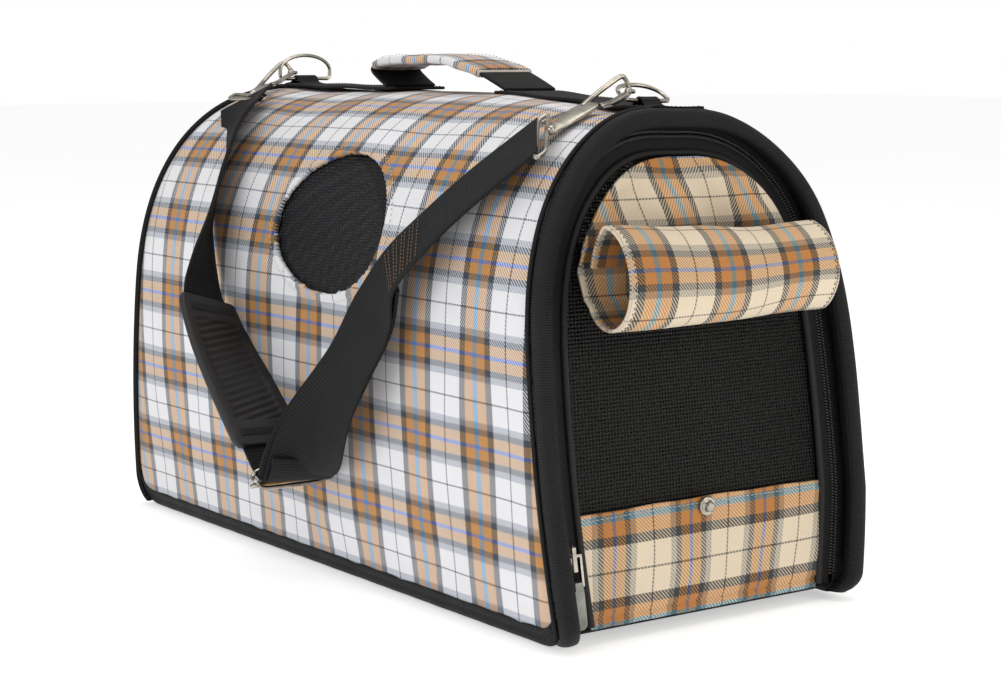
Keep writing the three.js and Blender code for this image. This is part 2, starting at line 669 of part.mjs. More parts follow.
// A band of even width round an open line of points.
function stroke(points, width) {
  const line = points.map(([x, y]) => new THREE.Vector2(x, y));
  const side = (sign) => line.map((point, i) => {
    const before = line[Math.max(0, i - 1)];
    const after = line[Math.min(line.length - 1, i + 1)];
    const along = after.clone().sub(before).normalize();
    return new THREE.Vector2(point.x - sign * along.y * width / 2, point.y + sign * along.x * width / 2);
  });
  return new THREE.Shape([...side(1), ...side(-1).reverse()]);
}

function hookBody(hook, hand) {
  const wire = [[-3, HOOK_NECK + 6], [-9, HOOK_NECK - 2], [-9.5, 6], [-6, -1.5], [0, HOOK_HEAD]];
  wire.push([6, -1.5], [8.5, 6], [7.5, 11]);
  const bent = stroke(wire.map(([x, y]) => [x * hand, y]), HOOK_WIRE);
  const bend = inHook(hook, bent, -HOOK_THICK / 2, HOOK_THICK);
  const neck = [[0, HOOK_NECK + 1], [0, hook.long - EYE_LONG + 2]];
  const body = inHook(hook, stroke(neck, HOOK_BODY), -HOOK_THICK / 2, HOOK_THICK);
  return join(bend, body);
}

// The sprung lever that closes the hook's mouth.
function hookGate(hook, hand) {
  const lever = [[7.2 * hand, HOOK_NECK - 0.5], [7.6 * hand, 13.6]];
  return inHook(hook, stroke(lever, GATE_WIDE), -HOOK_THICK / 2, HOOK_THICK);
}

function hookEye(hook) {
  const low = hook.long - EYE_LONG + 2 + GAP;
  const high = hook.long + 3;
  const half = EYE_WIDE / 2;
  const wire = EYE_WIRE;
  const outline = new THREE.Shape([
    new THREE.Vector2(-half, low), new THREE.Vector2(half, low),
    new THREE.Vector2(half, high), new THREE.Vector2(-half, high),
  ]);
  outline.holes.push(new THREE.Path([
    new THREE.Vector2(-half + wire, low + wire), new THREE.Vector2(-half + wire, high - wire),
    new THREE.Vector2(half - wire, high - wire), new THREE.Vector2(half - wire, low + wire),
  ]));
  return inHook(hook, outline, -HOOK_THICK / 2, HOOK_THICK);
}

// A webbing leg through centre points, each with the direction of the webbing's width.
function webbing(stations, width, thick, steps) {
  const curveOf = (key) => {
    const points = stations.map((station) => new THREE.Vector3(...station[key]));
    return new THREE.CatmullRomCurve3(points, false, 'centripetal');
  };
  const centre = curveOf('at');
  const turn = curveOf('wide');
  return bentBlock(1, 1, steps, (a, b, s) => {
    const point = centre.getPoint(s);
    const along = centre.getTangent(s);
    const wide = turn.getPoint(s);
    wide.addScaledVector(along, -wide.dot(along)).normalize();
    const out = wide.clone().cross(along).normalize();
    return point.addScaledVector(wide, width * (a - 0.5)).addScaledVector(out, thick * (b - 0.5));
  });
}

// A station of webbing in line with a hook, a little past its eye.
function pastEye(hook, past) {
  const at = hook.origin.clone().addScaledVector(hook.along, hook.long + past).toArray();
  return { at, wide: hook.across.toArray() };
}

const REAR_LEG = [
  pastEye(HOOKS[0], 4.5),
  pastEye(HOOKS[0], 11),
  { at: [-115, -88, 235], wide: [0.82, 0.3, 0.48] },
  { at: [-99, -104, 213], wide: [0.86, -0.25, 0.4] },
  { at: [-91, -115, 191], wide: [0.88, -0.42, 0.2] },
  { at: [-92, -120, 169], wide: [0.88, -0.35, 0.3] },
  { at: [-89, -122, 154], wide: [0.93, -0.15, 0.35] },
];
const PAD_LINE = [
  { at: [-87, -123, 146], wide: [0.92, -0.05, 0.4] },
  { at: [-70, -123, 121], wide: [0.8, -0.2, 0.57] },
  { at: [-35, -123, 94], wide: [0.66, -0.25, 0.71] },
  { at: [-5, -122, 71], wide: [0.6, -0.22, 0.77] },
];
const LOWER_LOOP = [
  { at: [-1, -123, 68], wide: [0.65, 0, 0.76] },
  { at: [10, -124, 60], wide: [0.72, 0.4, 0.55] },
  { at: [27, -127, 59], wide: [0.65, 0.72, 0.2] },
  { at: [35, -129, 68], wide: [0.6, 0.78, -0.1] },
];
const FRONT_LEG = [
  { at: [40, -130, 75], wide: [0.58, 0.76, -0.25] },
  { at: [51, -130, 91], wide: [0.58, 0.76, -0.28] },
  { at: [62, -128, 107], wide: [0.72, 0.5, -0.45] },
  { at: [74, -124, 127], wide: [0.84, 0.26, -0.46] },
  { at: [90, -120, 153], wide: [0.88, 0.06, -0.46] },
  { at: [105, -117, 176], wide: [0.87, 0, -0.48] },
  { at: [125, -110, 198], wide: [0.76, -0.22, -0.6] },
  { at: [151, -100, 221], wide: [0.72, -0.3, -0.62] },
  { at: [165, -88, 237], wide: [0.85, -0.3, -0.4] },
  pastEye(HOOKS[1], 12.5),
  pastEye(HOOKS[1], 5.5),
];

const rearLeg = () => webbing(REAR_LEG, STRAP_WIDE, STRAP_THICK, 18);
const shoulderPad = () => webbing(PAD_LINE, PAD_WIDE, PAD_THICK, 10);
const lowerLoop = () => webbing(LOWER_LOOP, STRAP_WIDE, STRAP_THICK, 8);
const frontLeg = () => webbing(FRONT_LEG, STRAP_WIDE, DOUBLE_THICK, 22);

// The slide adjuster: a wire frame round the double webbing, just above the lower loop.
function slideAdjuster() {
  const foot = new THREE.Vector3(...FRONT_LEG[0].at);
  const along = new THREE.Vector3(...FRONT_LEG[1].at).sub(foot).normalize();
  const wide = new THREE.Vector3(...FRONT_LEG[0].wide);
  wide.addScaledVector(along, -wide.dot(along)).normalize();
  const out = wide.clone().cross(along).normalize();
  const centre = foot.clone().addScaledVector(along, 7);
  const half = STRAP_WIDE / 2;
  const frame = cut(
    block(-half - 4, half + 4, -4.6, 4.6, -4, 4),
    block(-half - 1.2, half + 1.2, -3, 3, -9, 9),
  );
  return reshape(frame, (v) => centre.clone()
    .addScaledVector(wide, v.x)
    .addScaledVector(out, v.y)
    .addScaledVector(along, v.z));
}

// ---- Assembly ----

addPlaid('shell_panel', shellPanel());
addNet('window_net_near', windowNet(-1));
addNet('window_net_far', windowNet(1));
addPlaid('rear_panel', rearPanel());
addNet('rear_net', rearNet());
addBlack('rear_binding', rearBinding());
addBlack('base_panel', basePanel());
addBlack('base_board', baseBoard());
addBlack('side_seam_near', sideSeam(-1));
addBlack('side_seam_far', sideSeam(1));

addBlack('front_lip', frontLip());
addBlack('zip_tape_outer', zipTapeOuter());
addBlack('zip_teeth_outer', zipTeethOuter());
addBlack('zip_teeth_inner', zipTeethInner());
addBlack('door_gusset', doorGusset());
addBlack('door_piping', doorPiping());
addNet('door_net', doorNet());
addPlaid('door_lower_panel', lowerPanel());
addMetal('snap_stud', snapStud());
addPlaid('door_flap', doorFlap());

addMetal('zip_slider', zipSlider());
addMetal('pull_link', pullLink());
addMetal('pull_tab', pullTab());

addBlack('ridge_webbing_rear', ridgeStrip(rearX(TOP_Z) + 3.4, FOOT_X[0] + 8));
addBlack('ridge_webbing_front', ridgeStrip(FOOT_X[1] - 8, RING_X[1] + 20));
addBlack('ring_loop_rear', ringLoop(RING_X[0]));
addBlack('ring_loop_front', ringLoop(RING_X[1]));
addMetal('d_ring_rear', dRing(RING_X[0], RING_LEAN[0]));
addMetal('d_ring_front', dRing(RING_X[1], RING_LEAN[1]));
addPlaid('handle_grip', handleGrip());
addBlack('handle_foot_rear', handleFootRear());
addBlack('handle_foot_front', handleFootFront());

['rear', 'front'].forEach((end, i) => {
  const hand = i === 0 ? 1 : -1;
  addMetal(`hook_${end}`, hookBody(HOOKS[i], hand));
  addMetal(`hook_gate_${end}`, hookGate(HOOKS[i], hand));
  addMetal(`hook_eye_${end}`, hookEye(HOOKS[i]));
});
addBlack('strap_rear_leg', rearLeg());
addBlack('shoulder_pad', shoulderPad());
addBlack('strap_lower_loop', lowerLoop());
addBlack('strap_front_leg', frontLeg());
addMetal('slide_adjuster', slideAdjuster());

export default carrier;
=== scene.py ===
"""Looks for the arched, soft-sided pet carrier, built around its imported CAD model.

Shapes are worked out in millimetres in the CAD's own frame and turned into metres when a mesh is made.
"""

import json
import math
from types import SimpleNamespace

import bpy
import numpy as np
from mathutils import Matrix, Vector


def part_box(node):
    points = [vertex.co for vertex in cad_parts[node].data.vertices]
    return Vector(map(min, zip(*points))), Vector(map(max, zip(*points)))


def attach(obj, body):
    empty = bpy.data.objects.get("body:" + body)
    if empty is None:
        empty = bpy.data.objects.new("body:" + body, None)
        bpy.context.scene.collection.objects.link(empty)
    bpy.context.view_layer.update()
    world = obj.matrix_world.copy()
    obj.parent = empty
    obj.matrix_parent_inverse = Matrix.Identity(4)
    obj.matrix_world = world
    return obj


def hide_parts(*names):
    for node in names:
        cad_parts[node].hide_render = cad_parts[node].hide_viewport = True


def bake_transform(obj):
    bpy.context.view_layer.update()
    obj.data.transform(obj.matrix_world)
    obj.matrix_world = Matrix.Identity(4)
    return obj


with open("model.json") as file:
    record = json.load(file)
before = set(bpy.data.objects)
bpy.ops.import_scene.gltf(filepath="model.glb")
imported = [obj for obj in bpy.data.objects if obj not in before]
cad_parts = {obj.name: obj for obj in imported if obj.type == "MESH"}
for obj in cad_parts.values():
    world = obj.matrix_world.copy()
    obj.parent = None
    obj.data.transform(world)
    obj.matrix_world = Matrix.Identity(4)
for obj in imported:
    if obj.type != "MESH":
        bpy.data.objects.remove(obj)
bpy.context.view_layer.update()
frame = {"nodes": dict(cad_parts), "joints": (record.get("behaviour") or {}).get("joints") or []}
MM = 0.001
PI = math.pi


def node_box(name):
    """Lowest and highest corner of a CAD node, in millimetres."""
    lo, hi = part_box(name)
    return np.array(lo) / MM, np.array(hi) / MM


def node_middle(name):
    lo, hi = node_box(name)
    return (lo + hi) / 2


# ---- Camera, light and floor ----

scene = bpy.context.scene
scene.view_settings.view_transform = "Standard"
scene.view_settings.look = "None"


def link(obj):
    scene.collection.objects.link(obj)
    return obj


camera_data = bpy.data.cameras.new("camera")
camera_data.sensor_width = 36
camera_data.lens = 78.94
camera_data.clip_start = 0.02
camera = link(bpy.data.objects.new("camera", camera_data))
CAMERA_PLACE = Vector((1.0316, -0.7234, 0.2912))
RIGHT = Vector((0.58680, 0.80973, 0.00231))
UP = Vector((-0.11104, 0.07764, 0.99078))
BACK = Vector((0.80208, -0.58165, 0.13547))
camera.matrix_world = Matrix.Translation(CAMERA_PLACE) @ Matrix((RIGHT, UP, BACK)).transposed().to_4x4()
scene.camera = camera


def area_light(name, place, aim, size, power, colour):
    data = bpy.data.lights.new(name, "AREA")
    data.shape = "RECTANGLE"
    data.size, data.size_y = size
    data.energy = power
    data.color = colour
    lamp = link(bpy.data.objects.new(name, data))
    lamp.location = place
    lamp.rotation_euler = (Vector(aim) - Vector(place)).to_track_quat("-Z", "Y").to_euler()


area_light("side_window", (0.2, -1.9, 0.95), (0, 0, 0.12), (1.6, 1.1), 11.7, (0.90, 0.96, 1.0))
area_light("front_lamp", (1.8, 0.5, 0.9), (0.1, 0, 0.12), (1.0, 0.8), 7.5, (1.0, 0.91, 0.78))
area_light("ceiling", (0.1, 0.1, 1.8), (0, 0, 0), (1.6, 1.6), 12, (1.0, 0.97, 0.92))
world = bpy.data.worlds.new("studio")
scene.world = world
world.use_nodes = True
world_nodes = world.node_tree.nodes
world_nodes["Background"].inputs["Color"].default_value = (1, 1, 1, 1)
light_path = world_nodes.new("ShaderNodeLightPath")
seen = world_nodes.new("ShaderNodeMapRange")
seen.inputs["To Min"].default_value = 0.5  # what lights the carrier
seen.inputs["To Max"].default_value = 1.0  # what the camera sees
world.node_tree.links.new(light_path.outputs["Is Camera Ray"], seen.inputs["Value"])
world.node_tree.links.new(seen.outputs["Result"], world_nodes["Background"].inputs["Strength"])


# ---- Materials ----

def linear(red, green, blue):
    """A colour given as 0-255 screen values, as linear light."""
    out = []
    for value in (red, green, blue):
        c = value / 255
        out.append(c / 12.92 if c <= 0.04045 else ((c + 0.055) / 1.055) ** 2.4)
    return (*out, 1)


class Finish:
    """A procedural material and short names for the nodes that it is made of."""

    def __init__(self, name, roughness=0.6, metallic=0.0):
        self.material = bpy.data.materials.new(name)
        self.material.use_nodes = True
        self.tree = self.material.node_tree
        self.shader = self.tree.nodes["Principled BSDF"]
        self.set("Metallic", metallic)
        self.set("Roughness", roughness)

    def put(self, socket, value):
        if isinstance(value, bpy.types.NodeSocket):
            self.tree.links.new(value, socket)
        else:
            socket.default_value = value

    def math(self, operation, first, second=0.0, third=0.0):
        node = self.tree.nodes.new("ShaderNodeMath")
        node.operation = operation
        for socket, value in zip(node.inputs, (first, second, third)):
            self.put(socket, value)
        return node.outputs[0]

    def scaled(self, value, factor, shift=0.0):
        return self.math("MULTIPLY_ADD", value, factor, shift)

    def mix(self, share, first, second, blend="MIX"):
        node = self.tree.nodes.new("ShaderNodeMix")
        node.data_type = "RGBA"
        node.blend_type = blend
        self.put(node.inputs[0], share)
        self.put(node.inputs[6], first)
        self.put(node.inputs[7], second)
        return node.outputs[2]

    def ramp(self, value, stops, smooth=False):
        node = self.tree.nodes.new("ShaderNodeValToRGB")
        node.color_ramp.interpolation = "LINEAR" if smooth else "CONSTANT"
        elements = node.color_ramp.elements
        while len(elements) < len(stops):
            elements.new(1.0)
        for element, (place, colour) in zip(elements, stops):
            element.position = place
            element.color = colour
        self.put(node.inputs[0], value)
        return node.outputs[0]

    def noise(self, scale, detail=2.0, vector=None):
        node = self.tree.nodes.new("ShaderNodeTexNoise")
        node.inputs["Scale"].default_value = scale
        node.inputs["Detail"].default_value = detail
        self.put(node.inputs["Vector"], vector if vector else self.place())
        return node.outputs["Fac"]

    def place(self):
        """Object coordinates, in metres."""
        node = self.tree.nodes.new("ShaderNodeTexCoord")
        return node.outputs["Object"]

    def cloth(self):
        """The cloth's own two coordinates, in millimetres across and along its threads."""
        node = self.tree.nodes.new("ShaderNodeAttribute")
        node.attribute_name = "cloth"
        split = self.tree.nodes.new("ShaderNodeSeparateXYZ")
        self.tree.links.new(node.outputs["Vector"], split.inputs[0])
        return split.outputs[0], split.outputs[1]

    def wave(self, value, pitch):
        """A sine from 0 to 1 that repeats every pitch."""
        turn = self.math("MULTIPLY", value, 2 * PI / pitch)
        return self.scaled(self.math("SINE", turn), 0.5, 0.5)

    def bump(self, height, distance, strength=1.0):
        node = self.tree.nodes.new("ShaderNodeBump")
        node.inputs["Strength"].default_value = strength
        node.inputs["Distance"].default_value = distance
        self.put(node.inputs["Height"], height)
        self.tree.links.new(node.outputs[0], self.shader.inputs["Normal"])

    def set(self, name, value):
        self.put(self.shader.inputs[name], value)

    def colour(self, value):
        self.set("Base Color", value)

    def rough(self, value):
        self.set("Roughness", value)


WHITE = (228, 227, 230)
WARP_TAN = (198, 142, 70)
WEFT_TAN = (192, 147, 86)
BLACK_YARN = (34, 40, 52)
WARP_REPEAT = 53.0  # the plaid repeats after this many millimetres across the warp
WEFT_REPEAT = 46.2


def stripes(repeat, bands):
    """Colour stops of half a repeat, given outward from its centre line, mirrored to a whole repeat."""
    stops = [(0.0, bands[0][1])]
    stops += [(reach, after[1]) for (reach, _), after in zip(bands, bands[1:])]
    stops += [(repeat - reach, colour) for reach, colour in reversed(bands[:-1])]
    return [(place / repeat, linear(*colour)) for place, colour in stops]


WARP = stripes(
    WARP_REPEAT,
    [(1.85, (66, 148, 200)), (8.8, WARP_TAN), (13.5, BLACK_YARN), (25.9, WHITE), (26.5, (92, 96, 106))],
)
WEFT = stripes(
    WEFT_REPEAT,
    [
        (1.0, (74, 112, 200)),
        (6.2, WEFT_TAN),
        (9.4, (66, 78, 96)),
        (12.7, (160, 166, 178)),
        (22.6, WHITE),
        (23.1, (96, 100, 110)),
    ],
)


def plaid(name, painted_light_tint):
    """Twill-woven plaid: diagonal floats show the warp's colour or the weft's."""
    f = Finish(name, roughness=0.72)
    across, along = f.cloth()
    drift = f.noise(9.0, 1.0)
    across = f.math("ADD", across, f.scaled(drift, 1.2, -0.6))
    warp = f.ramp(f.math("FRACT", f.math("DIVIDE", across, WARP_REPEAT)), WARP)
    weft = f.ramp(f.math("FRACT", f.math("DIVIDE", along, WEFT_REPEAT)), WEFT)
    diagonal = f.wave(f.math("ADD", across, along), 2.0)
    pick = f.scaled(f.math("GREATER_THAN", diagonal, 0.5), 0.86, 0.07)
    woven = f.mix(pick, warp, weft)
    crossed = f.mix(1.0, warp, weft, "MULTIPLY")
    crossed = f.mix(1.0, crossed, (1.27, 1.27, 1.25, 1), "MULTIPLY")
    cloth = f.mix(0.34, woven, crossed)
    soil = f.ramp(f.noise(14.0, 4.0), [(0.3, (0.93, 0.92, 0.90, 1)), (0.7, (1, 1, 1, 1))], True)
    cloth = f.mix(1.0, cloth, soil, "MULTIPLY")
    # The tint multiplies the whole cloth: for the front copy it is painted shade and warm light.
    f.colour(f.mix(1.0, cloth, (*painted_light_tint, 1), "MULTIPLY"))
    threads = f.math("ADD", f.wave(across, 0.7), f.wave(along, 0.7))
    height = f.scaled(diagonal, 1.4, f.math("MULTIPLY", threads, 0.3))
    f.bump(height, 0.00012, 0.5)
    f.rough(f.scaled(f.noise(60.0), 0.14, 0.64))
    f.set("Sheen Weight", 0.12)
    f.set("Sheen Roughness", 0.5)
    return f.material


def ribbed(name, colour, pitch, depth, roughness):
    """Black narrow ware with ribs across it: webbing, grosgrain or zip tape. Its rib crests are painted
    lighter as a painted highlight, over a random mottle.
    """
    f = Finish(name, roughness=roughness)
    across, along = f.cloth()
    rib = f.wave(along, pitch)
    yarn = f.wave(across, pitch * 0.62)
    height = f.scaled(rib, 0.8, f.math("MULTIPLY", yarn, 0.45))
    dark = linear(*colour)
    # painted highlight: the lighter colour on the rib crests, mixed in by the rib wave and a random mottle
    painted_rib_highlight = linear(*(min(255, c + 22) for c in colour))
    rib_highlight_and_mottle = f.scaled(rib, 0.55, f.math("MULTIPLY", f.noise(35.0, 3.0), 0.4))
    f.colour(f.mix(rib_highlight_and_mottle, dark, painted_rib_highlight))
    f.bump(height, depth, 0.8)
    f.rough(f.scaled(f.noise(50.0), 0.16, roughness - 0.08))
    f.set("Specular IOR Level", 0.22)
    return f.material


def netting(name, open_share, thread_tone, knot_highlight_tone, knot_highlight_start):
    """Fine knotted netting: dark threads both ways, painted lighter where they cross as a painted highlight,
    with partly see-through holes between them.
    """
    f = Finish(name, roughness=0.5)
    across, along = f.cloth()
    pitch = 2.0
    u = f.wave(across, pitch)
    v = f.wave(along, pitch * 0.95)
    thread = f.math("MAXIMUM", u, v)
    knot = f.math("MULTIPLY", u, v)
    # painted highlight: the knots, where the threads cross, are coloured lighter than the threads
    f.colour(f.ramp(knot, [(knot_highlight_start, linear(*thread_tone)), (0.98, linear(*knot_highlight_tone))], True))
    solid = f.math("GREATER_THAN", thread, 0.62)
    f.set("Specular IOR Level", 0.2)
    # The holes are partly opaque in the dark thread colour: partly the net's dense fine threads, partly
    # painted shade of the dark inside behind it.
    f.set("Alpha", f.scaled(solid, open_share, 1 - open_share))
    f.bump(f.math("ADD", thread, knot), 0.0003, 0.7)
    return f.material


def metal(name, colour, roughness, grime=0.12):
    f = Finish(name, roughness=roughness, metallic=1.0)
    worn = f.noise(90.0, 4.0)
    base = linear(*colour)
    dull = linear(*(c * 0.78 for c in colour))
    f.colour(f.ramp(worn, [(0.35, dull), (0.62, base)], True))
    f.rough(f.scaled(worn, grime, roughness - grime / 2))
    f.bump(f.noise(420.0, 3.0), 0.00006, 0.35)
    return f.material


def plain(name, colour, roughness, grain=300.0, depth=0.00005):
    """A dull moulded or coated surface with a fine grain."""
    f = Finish(name, roughness=roughness)
    spread = f.noise(24.0, 3.0)
    dark = linear(*(c * 0.82 for c in colour))
    f.colour(f.mix(spread, dark, linear(*colour)))
    f.bump(f.noise(grain, 3.0), depth, 0.6)
    f.rough(f.scaled(spread, 0.12, roughness - 0.06))
    return f.material


SIDE_PLAID = plaid("plaid_side", (1.0, 1.0, 1.0))
# The front's copy of the plaid is tinted darker and warmer: painted shade and warm light on the front face.
FRONT_PLAID_PAINTED_SHADE = plaid("plaid_front", (0.94, 0.81, 0.59))
WEBBING = ribbed("black_webbing", (4, 4, 5), 1.9, 0.0004, 0.62)
GROSGRAIN = ribbed("lip_grosgrain", (5, 5, 6), 1.25, 0.0004, 0.55)
TAPE = ribbed("zip_tape", (7, 7, 8), 0.9, 0.0002, 0.6)
PIPING = ribbed("door_piping", (26, 25, 25), 1.1, 0.0002, 0.55)
LINING = plain("lining", (12, 12, 13), 0.85)
NET = netting("netting", 0.4, (2, 2, 2), (58, 55, 50), 0.7)
WINDOW_NET = netting("window_netting", 0.12, (15, 15, 18), (38, 38, 43), 0.5)
# The black nylon coil is coloured grey, lighter than the black tapes: a painted highlight along the teeth.
COIL = plain("nylon_coil", (48, 46, 46), 0.34)
RUBBER = plain("pad_rubber", (22, 21, 22), 0.5, 500.0, 0.0001)
NICKEL = metal("nickel", (196, 190, 178), 0.2)
GREY_METAL = metal("grey_metal", (150, 152, 146), 0.42)
BRASS = metal("brass", (196, 160, 96), 0.3)
BOARD = plain("stiffener", (70, 66, 60), 0.8)
THREAD = plain("white_thread", (214, 206, 196), 0.6)
RAW_EDGE = plain("raw_edge", (186, 176, 168), 0.75)
BLACK_THREAD = plain("black_thread", (46, 44, 46), 0.5)
BROWN_THREAD = plain("brown_thread", (128, 98, 74), 0.6)


# ---- Mesh helpers ----

def smooth(value, start, end):
    """0 before start, 1 after end, with a soft change between."""
    t = np.clip((np.asarray(value, float) - start) / (end - start), 0, 1)
    return t * t * (3 - 2 * t)


def slump(points):
    """The soft front arch leans in on its far side and sinks a little at the ridge."""
    x, y, z = points.T
    forward = smooth(x, 40, 175)
    lean = 0.113 * np.maximum(z - 60, 0) * smooth(y, -70, 100) * forward
    sink = 5.0 * smooth(z, 205, 262) * smooth(y, -60, 0) * forward
    return np.stack([x, y - lean, z - sink], 1)


def mesh(name, points, faces, material, cloth=None):
    """A smooth mesh from points in millimetres. cloth gives each point's place on the flat cloth."""
    points = slump(np.asarray(points, float))
    data = bpy.data.meshes.new(name)
    data.from_pydata((points * MM).tolist(), [], faces)
    if cloth is not None:
        flat = np.c_[cloth, np.zeros(len(cloth))].astype(np.float32)
        data.attributes.new("cloth", "FLOAT_VECTOR", "POINT").data.foreach_set("vector", flat.ravel())
    data.polygons.foreach_set("use_smooth", [True] * len(data.polygons))
    data.materials.append(material)
    data.update()
    return link(bpy.data.objects.new(name, data))


def grid_faces(rows, columns, wrap_rows=False, wrap_columns=False):
    index = np.arange(rows * columns).reshape(rows, columns)
    if wrap_rows:
        index = np.vstack([index, index[:1]])
    if wrap_columns:
        index = np.hstack([index, index[:, :1]])
    quads = np.stack([index[:-1, :-1], index[:-1, 1:], index[1:, 1:], index[1:, :-1]], -1)
    return quads.reshape(-1, 4).tolist()


def tube_faces(rings, sides, closed=False):
    """Faces of a tube made of rings of points: its ends meet each other, or each has a cap."""
    faces = grid_faces(rings, sides, closed, True)
    if not closed:
        faces += [list(range(sides))[::-1], list(range((rings - 1) * sides, rings * sides))]
    return faces


def sheet_mesh(name, x, y, z, material, across, along, round_trip=False, more_faces=()):
    """A sheet from grids of coordinates. across and along are the places on the flat cloth."""
    points = np.stack([x, y, z], -1).reshape(-1, 3)
    cloth = np.stack([across, along], -1).reshape(-1, 2)
    faces = grid_faces(*x.shape, False, round_trip) + list(more_faces)
    return mesh(name, points, faces, material, cloth)


def rods(name, parts, material):
    """Many small capped rods as one mesh. Each is a few rings of points."""
    rings, sides = parts[0].shape[:2]
    one = tube_faces(rings, sides)
    faces = [[k * rings * sides + i for i in face] for k in range(len(parts)) for face in one]
    return mesh(name, np.concatenate(parts).reshape(-1, 3), faces, material)


def thicken(obj, thickness, rim=None, inner=None):
    """Gives a sheet its thickness, inward, as a modifier."""
    solid = obj.modifiers.new("thickness", "SOLIDIFY")
    solid.thickness = thickness * MM
    solid.offset = -1
    solid.use_even_offset = False
    if inner is not None:
        obj.data.materials.append(inner)
        solid.material_offset = 1
        if rim is not None:
            solid.material_offset_rim = rim
    return obj


def place(obj, body, *nodes, slot=None):
    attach(obj, body)
    if nodes:
        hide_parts(*nodes)
    return obj


def unit(v):
    return v / np.maximum(np.linalg.norm(v, axis=-1, keepdims=True), 1e-9)


def lengths(line):
    """Distance along a line of points, from its first point."""
    return np.r_[0, np.cumsum(np.linalg.norm(np.diff(line, axis=0), axis=1))]


def resample(line, count):
    line = np.asarray(line, float)
    run = lengths(line)
    at = np.linspace(0, run[-1], count)
    return np.stack([np.interp(at, run, line[:, k]) for k in range(line.shape[1])], 1)


def spline(points, count):
    """A smooth line through the points (centripetal Catmull-Rom), evenly resampled."""
    p = np.asarray(points, float)
    p = np.vstack([2 * p[0] - p[1], p, 2 * p[-1] - p[-2]])
    out = []
    for i in range(1, len(p) - 2):
        four = p[i - 1 : i + 3]
        knots = np.r_[0, np.cumsum(np.sqrt(np.maximum(np.linalg.norm(np.diff(four, axis=0), axis=1), 1e-6)))]
        t = np.linspace(knots[1], knots[2], 24, endpoint=False)[:, None]

        def lerp(a, b, lo, hi):
            return a * (hi - t) / (hi - lo) + b * (t - lo) / (hi - lo)

        a = [lerp(four[k], four[k + 1], knots[k], knots[k + 1]) for k in range(3)]
        b = [lerp(a[k], a[k + 1], knots[k], knots[k + 2]) for k in range(2)]
        out.append(lerp(b[0], b[1], knots[1], knots[2]))
    out.append(p[-2:-1])
    return resample(np.vstack(out), count)


def rounded(width, thick, corner=None, flats=6, rounds=3, crown=0.0):
    """A flat strip's section: a rectangle with round corners, points going round once."""
    corner = min(corner if corner else thick / 2, thick / 2, width / 2)
    points = []
    for sx, sy, start in ((1, 1, 0), (-1, 1, 90), (-1, -1, 180), (1, -1, 270)):
        for k in range(rounds + 1):
            angle = math.radians(start + 90 * k / rounds)
            points.append(
                (
                    sx * (width / 2 - corner) + corner * math.cos(angle),
                    sy * (thick / 2 - corner) + corner * math.sin(angle),
                )
            )
        if start in (0, 180):
            for k in range(1, flats):
                share = k / flats
                x = sx * (width / 2 - corner) * (1 - 2 * share)
                points.append((x, sy * (thick / 2 + crown * (1 - (2 * share - 1) ** 2))))
    return np.array(points)


def circle(radius, sides=12):
    angle = np.linspace(0, 2 * PI, sides, endpoint=False)
    return np.c_[radius * np.cos(angle), radius * np.sin(angle)]


def tangents(line, closed):
    if closed:
        return unit(np.roll(line, -1, axis=0) - np.roll(line, 1, axis=0))
    return unit(np.gradient(line, axis=0))


def tube(name, points, across, along, material, closed=False):
    """A tube from rings of points, with the cloth's places across each ring and along the tube."""
    rings, sides = points.shape[:2]
    cloth = np.stack([np.broadcast_to(across, (rings, sides)), np.tile(along[:, None], (1, sides))], -1)
    faces = tube_faces(rings, sides, closed)
    return mesh(name, points.reshape(-1, 3), faces, material, cloth.reshape(-1, 2))


def sweep(name, line, section, material, wide=None, closed=False, scale=None):
    """A section carried along a line. wide is the direction of the section's first axis at each point."""
    line = np.asarray(line, float)
    along = tangents(line, closed)
    if wide is None:
        first = np.cross(along[0], (0.3, 0.2, 1.0))
        directions = [unit(first)]
        for t in along[1:]:
            last = directions[-1]
            directions.append(unit(last - t * np.dot(last, t)))
        wide = np.array(directions)
    else:
        wide = np.broadcast_to(np.asarray(wide, float), line.shape)
        wide = unit(wide - along * np.sum(wide * along, axis=1, keepdims=True))
    out = np.cross(wide, along)
    scale = np.ones(len(line)) if scale is None else scale
    points = (
        line[:, None]
        + wide[:, None] * (section[None, :, 0] * scale[:, None])[..., None]
        + out[:, None] * (section[None, :, 1] * scale[:, None])[..., None]
    )
    return tube(name, points, section[:, 0], lengths(line), material, closed)


STITCH_SHARES = (0.0, 0.2, 0.8, 1.0)  # where a stitch's rings stand along it
STITCH_SIZES = (0.2, 1.0, 1.0, 0.2)


def stitch_row(name, line, material, body, length=2.4, pitch=3.6, radius=0.28):
    """A row of sewn stitches along a line: one small rounded rod for each."""
    line = np.asarray(line, float)
    run = lengths(line)
    section = circle(1.0, 5)
    parts = []
    for start in np.arange(pitch / 2, run[-1] - length, pitch):
        at = [[np.interp(start + length * s, run, line[:, k]) for k in range(3)] for s in STITCH_SHARES]
        at = np.array(at)
        along = unit(at[-1] - at[0])
        side = unit(np.cross(along, (0.31, 0.22, 0.93)))
        spokes = (section[:, :1] * side + section[:, 1:] * np.cross(side, along)) * radius
        parts.append(at[:, None] + spokes[None] * np.array(STITCH_SIZES)[:, None, None])
    return place(rods(name, parts, material), body)


# ---- The cabin's section ----

